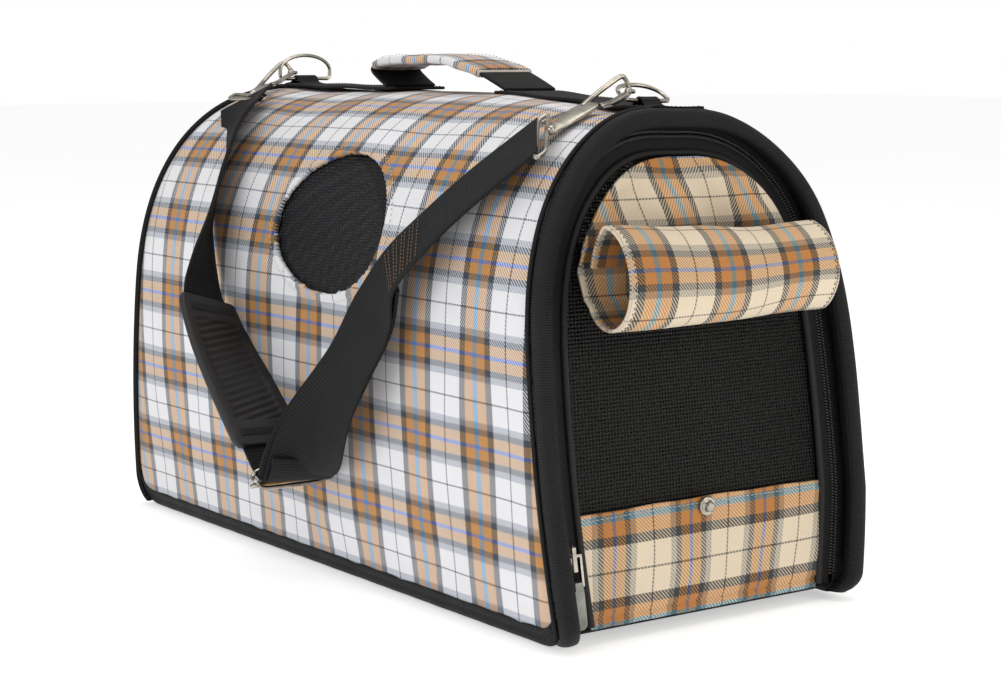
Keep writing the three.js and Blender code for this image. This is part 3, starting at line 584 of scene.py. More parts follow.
SHELL_LO, SHELL_HI = node_box("shell_panel")
HALF_WIDTH = float(SHELL_HI[1])
TOP_Z = float(SHELL_HI[2])
FOOT_Z = float(SHELL_LO[2])
WAIST_Z = 140.0
SIDE_CURVE = 5.08e-4
ARCH_POWER = 2.43
FRONT_X, FRONT_LEAN = 218.5, 0.0875
REAR_X, REAR_LEAN = -227.0, 0.155
FRONT_CORNER, REAR_CORNER = 12, 18
SIDES = ((-1, "near"), (1, "far"))


def front_x(z):
    """Where the leaning plane of the front end is at a height."""
    return FRONT_X - FRONT_LEAN * z


def rear_x(z):
    return REAR_X + REAR_LEAN * z


def half_width(z):
    """Half the cabin's width at a height: sides that lean in below the waist, a full arch above."""
    z = np.asarray(z, float)
    low = HALF_WIDTH - SIDE_CURVE * (WAIST_Z - z) ** 2
    rise = np.clip((z - WAIST_Z) / (TOP_Z - WAIST_Z), 0, 1)
    return np.where(z <= WAIST_Z, low, HALF_WIDTH * (1 - rise**ARCH_POWER) ** (1 / ARCH_POWER))


def section_line(foot, inset, count):
    """Points (y, z) of the section from the -Y foot to the +Y foot, and the directions inward."""
    z = np.linspace(foot, WAIST_Z, 200, endpoint=False)
    angle = np.linspace(0, PI / 2, 400)
    power = 2 / ARCH_POWER
    arch = np.c_[
        HALF_WIDTH * np.abs(np.cos(angle)) ** power, WAIST_Z + (TOP_Z - WAIST_Z) * np.sin(angle) ** power
    ]
    arch[-1, 0] = 0
    half = np.vstack([np.c_[half_width(z), z], arch])
    line = resample(np.vstack([half * (-1, 1), half[:-1][::-1]]), count)
    along = unit(np.gradient(line, axis=0))
    inward = np.c_[along[:, 1], -along[:, 0]]
    return line + inward * inset, inward


def corner(height, radius):
    """How far a round corner of this radius has come in at a height above its lowest point."""
    left = np.clip(radius - np.asarray(height, float), 0, radius)
    return radius - np.sqrt(radius**2 - left**2)


def ridge_drop(x, y):
    """How far the cloth sinks below the ridge line just behind the front lip."""
    dip = smooth(x, 128, 160) * (1 - smooth(x, 186, 206))
    return 1.5 * dip * (1 - smooth(np.abs(y), 14, 52))


def arch_piece(name, body, node, foot, section, plane, material, count=220, shift=None):
    """A closed section (forward, inset) carried round the arch on a leaning plane."""
    line, inward = section_line(foot, 0, count)
    points = np.zeros((count, len(section), 3))
    points[..., 1] = line[:, None, 0] + inward[:, None, 0] * section[None, :, 1]
    points[..., 2] = line[:, None, 1] + inward[:, None, 1] * section[None, :, 1]
    points[..., 0] = plane(points[..., 2]) + section[None, :, 0]
    if shift is not None:
        points += shift(line)[:, None]
    obj = tube(name, points, section[:, 1], lengths(line), material)
    return place(obj, body, node, slot="black_webbing") if node else place(obj, body)


def closed_outline(inset, low, count):
    """The section's outline above height low, closed along the bottom, starting at its middle."""
    line, _ = section_line(max(low - 6, 0.5), inset, 500)
    inside = line[line[:, 1] > low]
    near = [np.interp(low, line[:250, 1], line[:250, 0]), low]
    far = [-near[0], low]
    whole = np.vstack([[0, low], near, inside, far, [0, low]])
    return resample(whole, count + 1)[:-1]


# ---- The shell: one sheet from the near foot over the ridge to the far foot ----

WINDOW = np.array([14.0, 195.0])
WINDOW_HALF = np.array([55.0, 38.0])
NETTING_HALF = WINDOW_HALF + 8
STRIPE_HEIGHT = 38.4  # the lowest stripe along the cabin lies this far above its foot


def shell_cloth():
    """The plaid shell with its slack, its round corners and a hemmed oval opening on each side."""
    columns, rows = 190, 250
    line, inward = section_line(FOOT_Z, 0, 900)
    run = lengths(line)
    whole = run[-1]
    share = np.linspace(0, 1, columns)
    length = front_x(0) - rear_x(0)
    front_gap = (1 - share) * length
    rear_gap = share * length
    lift = np.maximum(corner(front_gap, FRONT_CORNER), corner(rear_gap, REAR_CORNER))
    part = np.linspace(0, 1, rows)
    s = lift[None, :] + (whole - 2 * lift[None, :]) * part[:, None]
    y = np.interp(s, run, line[:, 0])
    z = np.interp(s, run, line[:, 1])
    ny = -np.interp(s, run, inward[:, 0])
    nz = -np.interp(s, run, inward[:, 1])
    back = rear_x(z) + 3
    x = back + (front_x(z) - 1.3 - back) * share[None, :]
    flat = np.stack([x - 1.3, s - STRIPE_HEIGHT], -1)

    # the cloth's own shape: slack between its seams, a folded edge round each window
    beside = np.abs(y) > 60
    wx = (x - WINDOW[0]) / WINDOW_HALF[0]
    wz = (z - WINDOW[1]) / WINDOW_HALF[1]
    reach = np.hypot(wx, wz)
    angle = np.arctan2(wz, wx)
    beyond = (reach - 1) * 44
    beyond = np.where(beside, beyond, 99)
    hem = smooth(beyond, -3, 0.6) * (1 - smooth(beyond, 3.6, 5.4))
    pucker = np.sin(angle * 46) * 0.28 + np.sin(angle * 17 + 1.0) * 0.22
    slack = (
        0.9 * np.sin(x / 47 + 0.6) * np.sin(s / 39 + 0.4)
        + 0.5 * np.sin(x / 23 + s / 31)
        + 0.35 * np.sin(x / 12.5 - s / 17 + 1.7)
    )
    edges = smooth(front_gap, 2, 30)[None, :] * smooth(rear_gap, 2, 30)[None, :]
    feet = smooth(s, 2, 24) * smooth(whole - s, 2, 24)
    foot_pucker = 0.1 * np.sin(x / 4.1) * (1 - smooth(np.minimum(s, whole - s), 2, 22))
    tuck = 1.4 * (1 - smooth(front_gap, 0, 9))[None, :] + 1.2 * (1 - smooth(rear_gap, 0, 9))[None, :]
    proud = slack * edges * feet * (1 - 0.7 * hem) + hem * (0.55 + pucker * 0.25) + foot_pucker - tuck
    groove = np.exp(-((beyond - 5.0) ** 2) / 1.6) * 0.3
    proud = proud - np.where(beside, groove, 0) - 0.3
    y = y + ny * proud
    z = z + nz * proud - ridge_drop(x, y)

    points = np.stack([x, y, z], -1).reshape(-1, 3)
    faces = np.array(grid_faces(rows, columns))
    inside = (reach < 1) & beside
    flags = inside.reshape(-1)
    keep = faces[flags[faces].sum(axis=1) < 3]
    # points inside the opening's edge move out onto it, so the opening is a clean oval
    touched = np.zeros(len(points), bool)
    touched[keep.ravel()] = True
    for i in np.nonzero(touched & flags)[0]:
        grow = 1 / reach.flat[i]
        points[i, 0] = WINDOW[0] + (points[i, 0] - WINDOW[0]) * grow
        points[i, 2] = WINDOW[1] + (points[i, 2] - WINDOW[1]) * grow
        points[i, 1] = math.copysign(float(half_width(points[i, 2])) + 0.4, points[i, 1])
    flat = flat.reshape(-1, 2)
    used = np.unique(keep)
    renumber = np.full(len(points), -1)
    renumber[used] = np.arange(len(used))
    obj = mesh("shell_cloth", points[used], renumber[keep].tolist(), SIDE_PLAID, flat[used])
    thicken(obj, 2.6, 0, LINING)
    place(obj, "cabin", "shell_panel", slot="plaid_fabric")
    return obj


shell_cloth()


def window_ring(side, grow, proud, count=160):
    """Points on the side at an even distance outside a window's edge."""
    angle = np.linspace(0, 2 * PI, count)
    x = WINDOW[0] + (WINDOW_HALF[0] + grow) * np.cos(angle)
    z = WINDOW[1] + (WINDOW_HALF[1] + grow) * np.sin(angle)
    return np.c_[x, side * (half_width(z) + proud), z]


for side, end in SIDES:
    stitch_row(f"window_stitches_{end}", window_ring(side, 4.6, 0.2), THREAD, "cabin", 1.7, 3.3, 0.24)


def window_netting(side, end):
    """Netting behind a window's oval, a little larger than the opening and slightly hollow."""
    rows, columns = 30, 60
    across = np.linspace(-1, 1, columns)
    up = np.linspace(-1, 1, rows)
    reach = np.hypot(*np.meshgrid(across, up))
    grid_x, grid_z = np.meshgrid(WINDOW[0] + NETTING_HALF[0] * across, WINDOW[1] + NETTING_HALF[1] * up)
    out = half_width(grid_z) - 3.9 - 0.6 * np.cos(np.clip(reach, 0, 1) * PI / 2)
    points = np.stack([grid_x, side * out, grid_z], -1).reshape(-1, 3)
    faces = np.array(grid_faces(rows, columns))
    keep = faces[(reach.reshape(-1)[faces] < 1.02).any(axis=1)]
    flat = np.c_[grid_x.ravel(), grid_z.ravel()]
    obj = mesh(f"window_mesh_{end}", points, keep.tolist(), WINDOW_NET, flat)
    place(obj, "cabin", f"window_net_{end}", slot="black_net")


for side, end in SIDES:
    window_netting(side, end)


# ---- Rear end ----

def annulus(name, outer, inner, plane, back, crown, rings, material, cloth_from):
    """A flat panel between two outlines (y, z) on a leaning plane, crowned between its seams."""
    share = np.linspace(0, 1, rings)
    flat = outer[None] * (1 - share[:, None, None]) + inner[None] * share[:, None, None]
    lift = crown * np.sin(PI * share)[:, None] * np.ones(len(outer))[None]
    y, z = flat[..., 0], flat[..., 1]
    x = plane(z) + back - lift
    return sheet_mesh(name, x, y, z, material, y - cloth_from[0], z - cloth_from[1], True)


rear_cloth = annulus(
    "rear_cloth", closed_outline(4.2, 5, 200), closed_outline(34, 96, 200), rear_x, 4.4, 2.2, 16,
    SIDE_PLAID, (0, STRIPE_HEIGHT),
)
thicken(rear_cloth, 2.0, 0, LINING)
place(rear_cloth, "cabin", "rear_panel", slot="plaid_fabric")


opening = closed_outline(33.5, 96.5, 220)
opening_line = np.c_[rear_x(opening[:, 1]) + 4.2, opening]
place(
    sweep("rear_opening_binding", opening_line, circle(2.6, 10), WEBBING, wide=(1, 0, 0), closed=True),
    "cabin",
)


def disc(name, outline, plane, forward, bulge, rings, material, ripple):
    """Netting or cloth stretched across an outline, with a slight belly."""
    centre = outline.mean(axis=0)
    share = np.linspace(1, 0.02, rings)
    flat = centre + (outline[None] - centre) * share[:, None, None]
    y, z = flat[..., 0], flat[..., 1]
    belly = bulge * (1 - share**2)[:, None] * np.ones(len(outline))[None]
    belly = belly + ripple * np.sin(y / 9 + z / 21) * (1 - share**4)[:, None]
    middle = list(range((rings - 1) * len(outline), rings * len(outline)))
    return sheet_mesh(name, plane(z) + forward + belly, y, z, material, y, z, True, [middle])


rear_mesh = disc("rear_mesh", closed_outline(30, 90, 160), rear_x, 7.3, -0.8, 24, NET, 0.3)
place(rear_mesh, "cabin", "rear_net", slot="black_net")


def rear_corner(line):
    out = np.zeros((len(line), 3))
    out[:, 0] = corner(line[:, 1] - 1.5, 20)
    return out


binding_section = rounded(3.4, 10.5, 1.6, 3, 3, 0.3) + (1.4, 4.2)
arch_piece(
    "rear_edge_binding", "cabin", "rear_binding", 3.0, binding_section, rear_x, WEBBING, 260, rear_corner
)


# ---- Base ----

BASE_LO, BASE_HI = node_box("base_panel")


def base_cloth():
    """The black base, laid flat and turned up a little at its front and sides."""
    columns, rows = 90, 50
    x = np.linspace(BASE_LO[0] + 3, BASE_HI[0] - 5, columns)
    y = np.linspace(BASE_LO[1], BASE_HI[1], rows)
    gx, gy = np.meshgrid(x, y)
    from_front = np.clip((gx - (FRONT_X - 49)) / 45, 0, 1)
    from_side = np.clip((np.abs(gy) - (BASE_HI[1] - 9)) / 9, 0, 1)
    z = np.minimum(7.4, 7.4 * from_front**2 + 3.5 * from_side**2) + 2.4
    obj = sheet_mesh("base_cloth", gx, gy, z, LINING, gy, gx)
    obj.data.materials.append(WEBBING)
    thicken(obj, 2.2)
    obj.modifiers["thickness"].material_offset = 1
    place(obj, "cabin", "base_panel", slot="black_webbing")


def side_band(side, end):
    """The black band along the foot of a side: two soft rolls with a crease between."""
    count = 190
    x = np.linspace(REAR_X + 6, FRONT_X - 5, count)
    front_gap = FRONT_X - 3 - x
    rear_gap = x - (REAR_X + 4)
    lift = np.maximum(corner(front_gap, FRONT_CORNER), corner(rear_gap, REAR_CORNER))
    top = FOOT_Z + 1.5 + lift
    base = 1.0 + np.maximum(corner(front_gap + 1, 14), corner(rear_gap + 2, 20))
    ripple = 0.25 * np.sin(x / 3.4) + 0.2 * np.sin(x / 7.9)
    rings = []
    for angle, turn in zip(np.linspace(-0.45 * PI, 0.5 * PI, 14), np.linspace(0, 2 * PI, 14)):
        share = (np.sin(angle) + 1) / 2
        lobe = np.abs(np.sin(turn)) ** 0.6
        z = base + (top - base) * share
        out = half_width(z) - 1.2 + 1.3 * lobe + ripple * lobe * 0.6 - 3.0 * (1 - share) ** 3
        rings.append(np.stack([x, side * out, z], -1))
    for inward, share in ((3.5, 1.0), (6.0, 0.8), (6.5, 0.3), (5.0, 0.02)):
        z = base + (top - base) * share
        rings.append(np.stack([x, side * (half_width(z) - inward), z], -1))
    points = np.stack(rings, 1)
    faces = tube_faces(*points.shape[:2])
    if side > 0:
        faces = [face[::-1] for face in faces]
    cloth = points[..., [2, 0]].reshape(-1, 2)
    obj = mesh(f"side_band_{end}", points.reshape(-1, 3), faces, WEBBING, cloth)
    return place(obj, "cabin", f"side_seam_{end}", slot="black_webbing")


for side, end in SIDES:
    side_band(side, end)
base_cloth()


# ---- Front arch ----

def lip_shift(line):
    """The lip waves a little and curls in at its feet; a bulge low on its far side is worked out but written
    over.
    """
    out = np.zeros((len(line), 3))
    low = np.exp(-((line[:, 1] - 62) ** 2) / (2 * 34**2))
    out[:, 1] = np.where(line[:, 0] > 0, 2.2 * low, 0)
    curl = corner(line[:, 1] - 2.5, 13)
    out[:, 0] = np.sin(np.linspace(0, 41, len(line))) * 0.3 - curl
    out[:, 1] = np.where(line[:, 0] > 0, -0.9, 0.35) * curl
    return out


lip_section = circle(1.0, 18)
lip_section = np.sign(lip_section) * np.abs(lip_section) ** 0.85 * (5.2, 5.1) + (4.2, 4.6)
arch_piece("lip_roll", "cabin", "front_lip", 4.2, lip_section, front_x, GROSGRAIN, 300, lip_shift)
arch_piece("lip_piping", "cabin", None, 8.0, circle(1.3, 8) + (-1.2, 0.1), front_x, TAPE)
tape_section = rounded(1.0, 9.2, 0.45, 2, 2) + (-3.6, 7.2)
arch_piece("outer_zip_tape", "cabin", "zip_tape_outer", 7.5, tape_section, front_x, TAPE)


TOOTH_PITCH = 1.55
TOOTH_RINGS = ((-0.5, 0.6, -0.3), (-0.3, 1, 0.25), (0.3, 1, 0.25), (0.5, 0.6, -0.3))


def coil(name, inset, wide, node, body):
    """A row of nylon zip teeth round the arch, one closed bar for each turn of the coil."""
    line, inward = section_line(11.5, inset, 2400)
    run = lengths(line)
    section = circle(1.0, 6) * (0.55, 0.5)
    out = np.array([1.0, 0, 0])
    parts = []
    for at in np.arange(1.0, run[-1] - 1.0, TOOTH_PITCH):
        y, z = (np.interp(at, run, line[:, k]) for k in range(2))
        iy, iz = (np.interp(at, run, inward[:, k]) for k in range(2))
        across = np.array([0, iy, iz])
        along = np.array([0, -iz, iy])
        centre = np.array([front_x(z) - 3.3, y, z])
        rings = []
        for share, size, rise in TOOTH_RINGS:
            ring = (section[:, :1] * along + (section[:, 1:] + rise) * out) * size
            rings.append(centre + across * share * wide + ring)
        parts.append(np.array(rings))
    place(rods(name, parts, COIL), body, node, slot="nylon_teeth")


coil("outer_coil", 11.3, 2.4, "zip_teeth_outer", "cabin")
coil("inner_coil", 13.9, 2.4, "zip_teeth_inner", "door")

gusset_section = rounded(1.1, 7.0, 0.5, 3, 2, 0.2) + (-3.7, 18.2)
arch_piece("gusset_tape", "door", "door_gusset", 7.5, gusset_section, front_x, TAPE)
PIPING_INSET = 22.8  # from the cabin's outside to the piping, which the door's cloths start from
piping_section = circle(1.9, 12) + (-2.7, PIPING_INSET)
arch_piece("door_edge_piping", "door", "door_piping", 7.5, piping_section, front_x, PIPING, 240)


# ---- Door ----

LOWER_TOP = float(node_box("door_lower_panel")[1][2])

door_outline = closed_outline(PIPING_INSET + 1.8, LOWER_TOP - 3, 200)
door_mesh = disc("door_mesh", door_outline, front_x, -4.6, 1.2, 40, NET, 0.25)
place(door_mesh, "door", "door_net", slot="black_net")


def lower_cloth():
    """The door's plaid lower panel: padded, hemmed at the top, creased where it turns under."""
    rows, columns = 60, 90
    z = np.linspace(8.4, LOWER_TOP - 0.4, rows)
    share = np.linspace(-1, 1, columns)
    half = half_width(z) - PIPING_INSET - 0.8
    gy = half[:, None] * share[None]
    gz = np.tile(z[:, None], (1, columns))
    top_edge = 1.2 * np.cos(gy / 60) - 1.2 + 0.25 * np.sin(gy / 7)
    gz = gz + top_edge * smooth(gz, 40, 66)
    lift = 1.6 * np.sin(PI * np.clip((gz - 14) / 52, 0, 1)) * np.cos(share * PI / 2)[None] ** 0.5
    lift = lift + 0.5 * np.sin(gy / 15 + gz / 11) * smooth(gz, 16, 30) * (1 - smooth(gz, 52, 62))
    crease = 1.1 * np.exp(-((gz - 13.2) ** 2) / 2.2)
    under = 1.8 * smooth(13.0 - gz, 0, 7) * smooth(gz, 2.0, 7.5)
    ruck = 0.45 * np.sin(gy / 3.1) * np.exp(-((gz - 11) ** 2) / 12)
    x = front_x(gz) - 2.6 + lift - crease - under + ruck - 0.5 * np.exp(-((gz - 62.6) ** 2) / 0.8)
    pitch = 47.4 + 2.8 * (gz - 11) / 54
    start = -14.4 + 5.2 * (gz - 11) / 54
    along = (gy - start) / pitch * WEFT_REPEAT
    obj = sheet_mesh("lower_cloth", x, gy, gz, FRONT_PLAID_PAINTED_SHADE, gz - 61.7, along)
    thicken(obj, 1.8, 0, LINING)
    place(obj, "door", "door_lower_panel", slot="plaid_fabric")
    line_z = np.full(80, LOWER_TOP - 3.2)
    line_y = np.linspace(-78, 78, 80)
    top_line = np.c_[front_x(line_z) - 1.9, line_y, line_z + 1.2 * np.cos(line_y / 60) - 1.2]
    stitch_row("lower_hem_stitches", top_line, THREAD, "door", 2.2, 2.9, 0.2)


lower_cloth()


def turned(name, profile, centre, axis, material, sides=28):
    """A round part from its (radius, height) profile, standing on centre along axis."""
    axis = unit(np.asarray(axis, float))
    side = unit(np.cross(axis, (0.0, 0.3, 1.0)))
    other = np.cross(axis, side)
    angle = np.linspace(0, 2 * PI, sides, endpoint=False)
    rows = []
    for radius, height in profile:
        ring = np.cos(angle)[:, None] * side + np.sin(angle)[:, None] * other
        rows.append(centre + axis * height + ring * max(radius, 0.02))
    return mesh(name, np.vstack(rows), tube_faces(len(profile), sides), material)


stud_lo, stud_hi = node_box("snap_stud")
stud_middle = np.array([stud_lo[0], 0, (stud_lo[2] + stud_hi[2]) / 2])
stud_profile = [
    (0.1, 0), (4.9, 0), (5.2, 0.4), (5.0, 1.0), (4.5, 1.35), (3.9, 1.25), (3.2, 1.3), (2.8, 1.8),
    (2.5, 2.4), (2.7, 3.1), (2.6, 3.6), (1.9, 3.95), (0.9, 4.0), (0.1, 4.0),
]
stud = turned("snap", stud_profile, stud_middle + (0.6, 0, 0), (1, 0, -0.087), NICKEL)
place(stud, "door", "snap_stud", slot="nickel")


# ---- The flap, hung from the arch and rolled up outward ----

ROLL_FOOT, ROLL_TOP, ROLL_DEEP = 157.0, 205.0, 35.0
FLAP_MIDDLE, FLAP_HALF = 0.5, 75.5  # the flap hangs a little to one side
FLAP_TOP = 240
FLAP_INSET = PIPING_INSET + 2
HANG_END = (50, 84)  # distances down the sheet over which the hanging part passes into the roll
ROLL_START = (84, 112)


def flap_line():
    """The middle line of the rolled sheet as (x, z), from the top of the flap to its rolled-in end."""
    middle = (ROLL_FOOT + ROLL_TOP) / 2
    tall = (ROLL_TOP - ROLL_FOOT) / 2
    # each point is a height and a distance in front of the leaning plane
    path = [[FLAP_TOP, 1.4], [220, 2.4], [ROLL_TOP + 4, 2.6], [middle + 6, 2.2], [middle - 12, 3.2]]
    for i in range(16):
        angle = math.radians(212 + 236 * i / 15)
        path.append(
            [middle + tall * math.sin(angle), ROLL_DEEP / 2 + 2 + (ROLL_DEEP / 2) * math.cos(angle)]
        )
    path += [[ROLL_TOP - 10, 12], [middle + 4, 8]]
    line = spline(path, 260)
    return np.c_[front_x(line[:, 0]) + line[:, 1], line[:, 0]]


def flap_cloth():
    """The flap: creased where it hangs from the arch, wavy where it is rolled, with its raw edge."""
    line = flap_line()
    run = lengths(line)
    columns, rows = 110, 190
    share = np.linspace(-1, 1, columns)
    y = FLAP_MIDDLE + FLAP_HALF * share
    rim = half_width(WAIST_Z) - FLAP_INSET
    rise = (1 - np.clip(np.abs(y) / rim, 0, 1) ** ARCH_POWER) ** (1 / ARCH_POWER)
    top = WAIST_Z + (TOP_Z - FLAP_INSET - WAIST_Z) * rise
    down = line[: int(np.argmin(line[:140, 1])) + 1]
    start = np.interp(-np.minimum(top, FLAP_TOP), -down[:, 1], run[: len(down)])
    part = np.linspace(0, 1, rows)
    s = start[None] + (run[-1] - start[None]) * part[:, None]
    x = np.interp(s, run, line[:, 0])
    z = np.interp(s, run, line[:, 1])
    slope = unit(np.gradient(line, axis=0))
    nx = -np.interp(s, run, slope[:, 1])
    nz = np.interp(s, run, slope[:, 0])
    gy = np.tile(y[None], (rows, 1))
    rolled = smooth(s, *ROLL_START)
    hang = 1 - smooth(s, *HANG_END)
    dimple = 2.6 * np.sin(gy / 14 + 0.5) * np.sin(s / 13 + 0.8) + 1.9 * np.sin(gy / 9.5 - s / 9)
    wave = 0.9 * np.sin(gy / 26 + 1.1) + 0.5 * np.sin(gy / 11 + s / 30)
    lean = 1.8 * share[None] * np.sin(s / 40) * rolled
    proud = dimple * hang * smooth(s - start[None], 2, 12) + wave * rolled + lean
    sag = 2.2 * np.cos(share * PI / 2)[None] ** 2 * rolled - 0.8 * rolled
    x = x + nx * proud
    z = z + nz * proud - sag
    far = smooth(gy, -20, 70) * rolled
    z = z + (181 - z) * 0.20 * far
    x = x - (x - front_x(z) - 2) * 0.08 * far
    across = gy + 5 + 15 * np.clip((z - 204) / 36, 0, 1) * (1 - smooth(s, 60, 90))
    along = s + 8.6 * smooth(s, 72, 100)
    obj = sheet_mesh("flap_cloth", x, gy, z, FRONT_PLAID_PAINTED_SHADE, across, along)
    thicken(obj, 1.5)
    obj.modifiers["thickness"].offset = 0
    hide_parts("door_flap")
    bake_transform(obj)
    grid_points = np.stack([x, gy, z], -1)
    normal = np.stack([nx, np.zeros_like(nx), nz], -1)
    for column, end in ((2, "near"), (columns - 3, "far")):
        for face, name in ((-0.95, "outside"), (0.95, "inside")):
            edge = grid_points[6:, column] + normal[6:, column] * face
            stitch_row(f"flap_stitches_{name}_{end}", edge, BLACK_THREAD, "flap", 1.5, 3.0, 0.2)
    edge_line = grid_points[60:, 0] * 0.5 + grid_points[60:, 1] * 0.5
    section = rounded(1.7, 0.9, 0.4, 2, 2)
    place(sweep("flap_raw_edge", edge_line, section, RAW_EDGE, wide=normal[60:, 0]), "flap")


flap_cloth()


# ---- Zip slider, link and tab: CAD shapes with softened edges ----

def soften(node, width, material):
    obj = frame["nodes"][node]
    obj.data.materials.clear()
    obj.data.materials.append(material)
    bevel = obj.modifiers.new("bevel", "BEVEL")
    bevel.width = width * MM
    bevel.segments = 3
    bevel.limit_method = "ANGLE"
    bevel.angle_limit = math.radians(28)
    for polygon in obj.data.polygons:
        polygon.use_smooth = False


soften("zip_slider", 0.5, NICKEL)
soften("pull_link", 0.45, NICKEL)
soften("pull_tab", 0.4, GREY_METAL)
soften("base_board", 1.0, BOARD)


# ---- Ridge webbing, ring loops, rings and handle ----

WEB_WIDE = 38.0


def ridge_strip(end, longer):
    """The webbing sewn on the ridge behind or in front of the handle, with a stitch row at each edge."""
    node = f"ridge_webbing_{end}"
    name = f"ridge_strap_{end}"
    lo, hi = node_box(node)
    x = np.linspace(lo[0], hi[0] + longer, 60)
    z = TOP_Z + 1.0 - ridge_drop(x, 0) * 0.95 + 0.25 * np.sin(x / 9)
    line = np.c_[x, np.zeros(60), z]
    obj = sweep(name, line, rounded(WEB_WIDE, 1.8, 0.8, 12, 3), WEBBING, wide=(0, 1, 0))
    place(obj, "cabin", node, slot="black_webbing")
    for side, which in SIDES:
        edge = np.c_[x, np.full(60, side * 16.2), z + 0.95]
        stitch_row(f"{name}_stitches_{which}", edge, BLACK_THREAD, "cabin", 2.2, 3.4)


ridge_strip("rear", 0)
ridge_strip("front", 6)

ENDS = ("rear", "front")
RING_DROP = {"rear": 0.0, "front": 1.5}
RING_LEAN = {"rear": 0.0, "front": -58.0}  # degrees forward of upright
RING_X = {end: float(node_middle(f"ring_loop_{end}")[0]) for end in ENDS}
RING_Z = TOP_Z + 5.0
LOOP_WRAP = [(-12, -1.6), (-8, -1.1), (-4.4, 0.2), (-2.4, 3.0), (0, 4.3)]
LOOP_WRAP += [(-x, z) for x, z in reversed(LOOP_WRAP[:-1])]


def ring_piece(end):
    """A D-ring of round wire: bar, two legs and an arched top, leaning about its bar."""
    half, leg, tall = 18.2, 5.0, 14.6
    angle = np.linspace(0, PI, 26)
    top = np.c_[half * np.cos(angle), leg + (tall - leg) * np.sin(angle)]
    bar = [[-half, 1.4], [-half + 1.4, 0], [half - 1.4, 0], [half, 1.4]]
    outline = np.vstack([top, bar, top[:1]])
    outline = resample(outline, 120)[:-1]
    turn = math.radians(RING_LEAN[end])
    sine, cosine = math.sin(turn), math.cos(turn)
    x, z = RING_X[end], RING_Z - RING_DROP[end]
    line = np.c_[x + outline[:, 1] * sine, outline[:, 0], z + outline[:, 1] * cosine]
    obj = sweep(f"ring_{end}", line, circle(1.15, 12), NICKEL, closed=True, wide=(cosine, 0, -sine))
    place(obj, f"ring_{end}", f"d_ring_{end}", slot="nickel")
    loop = spline([[x + a, 0, z - 2.0 + b * 0.85] for a, b in LOOP_WRAP], 50)
    cover = sweep(f"loop_{end}", loop, rounded(15, 1.3, 0.6, 8, 2), WEBBING, wide=(0, 1, 0))
    place(cover, "cabin", f"ring_loop_{end}", slot="black_webbing")


for end in ENDS:
    ring_piece(end)

HANDLE_ROUTE = [  # (x, height above the ridge)
    (-57, 2.6), (-65, 6.4), (-73, 12), (-63, 16), (-28, 18), (5, 17.2), (34, 11.6), (50, 6.6), (62, 2.6),
]
HANDLE = spline([[x, 0, TOP_Z + height] for x, height in HANDLE_ROUTE], 300)


def part_of(line, start, end, count):
    whole = len(line) - 1
    piece = line[int(start * whole) : int(end * whole) + 1]
    return resample(piece, count)


def handle():
    """The padded grip with its stitches, and the two webbing feet between ridge and grip."""
    grip_line = part_of(HANDLE, 0.15, 0.83, 90)
    run = lengths(grip_line)
    waves = 0.25 * np.sin(run / 8) + 0.2 * np.sin(run / 3.7)
    grip_line = grip_line + np.c_[np.zeros(90), np.zeros(90), waves]
    section = rounded(38, 4.6, 1.9, 14, 4, 0.7)
    obj = sweep("grip_cloth", grip_line, section, SIDE_PLAID, wide=(0, 1, 0))
    # its threads run the other way, so the two places on the cloth are exchanged
    flat = np.zeros((90 * len(section), 3), np.float32)
    flat[:, 0] = np.repeat(run, len(section)) + 8
    flat[:, 1] = np.tile(section[:, 0], 90) + 3
    obj.data.attributes["cloth"].data.foreach_set("vector", flat.ravel())
    place(obj, "grip", "handle_grip", slot="plaid_fabric")
    for side, end in SIDES:
        edge = grip_line + (0, side * 15.6, 3.0)
        stitch_row(f"grip_stitches_{end}", edge, THREAD, "grip", 2.4, 3.6, 0.22)
    end_line = grip_line[-1] + np.c_[np.zeros(20), np.linspace(-18.4, 18.4, 20), np.zeros(20)]
    cream = sweep("grip_raw_end", end_line, rounded(2.4, 3.6, 0.8, 2, 2), THREAD, wide=(1, 0, -0.3))
    place(cream, "grip")
    for name, start, end, sewn, free in (("rear", 0.0, 0.17, 0, 20), ("front", 0.81, 1.0, -1, -21)):
        line = part_of(HANDLE, start, end, 36)
        foot = sweep(f"foot_{name}", line, rounded(35, 1.9, 0.8, 12, 3), WEBBING, wide=(0, 1, 0))
        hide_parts(f"handle_foot_{name}")
        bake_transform(foot)


handle()


# ---- Shoulder strap ----

STRAP_JOINT = next(j for j in frame["joints"] if j["name"] == "strap_swing")
SWING_Y, SWING_Z = (float(STRAP_JOINT["pos_m"][k]) / MM for k in (1, 2))
HOOK_X = {"rear": RING_X["rear"] + 1.0, "front": RING_X["front"] - 5.5}
EYE_BAR = {"rear": (1.0, 0, 0), "front": (0.70, -0.57, -0.42)}  # which way the webbing's end lies
HOOK_REACH = {"rear": 1.0, "front": 1.2}


def hook_frame(end):
    """Where a hook holds its ring, and its directions along, across and out of its flat side."""
    origin = np.array([HOOK_X[end], SWING_Y, SWING_Z])
    eye = node_middle(f"hook_eye_{end}")
    along = unit(eye - origin)
    bar = np.array(EYE_BAR[end])
    across = unit(bar - along * np.dot(along, bar))
    out = unit(np.cross(along, across))
    long = float(np.linalg.norm(eye - origin)) * HOOK_REACH[end]
    return SimpleNamespace(origin=origin, along=along, across=across, out=out, bar=bar, long=long)


HOOKS = {end: hook_frame(end) for end in ENDS}


def in_frame(origin, axes, points):
    """Points given along three axes from an origin."""
    points = np.asarray(points, float)
    return origin + points[:, :1] * axes[0] + points[:, 1:2] * axes[1] + points[:, 2:] * axes[2]


def in_hook(hook, points):
    return in_frame(hook.origin, (hook.across, hook.along, hook.out), points)


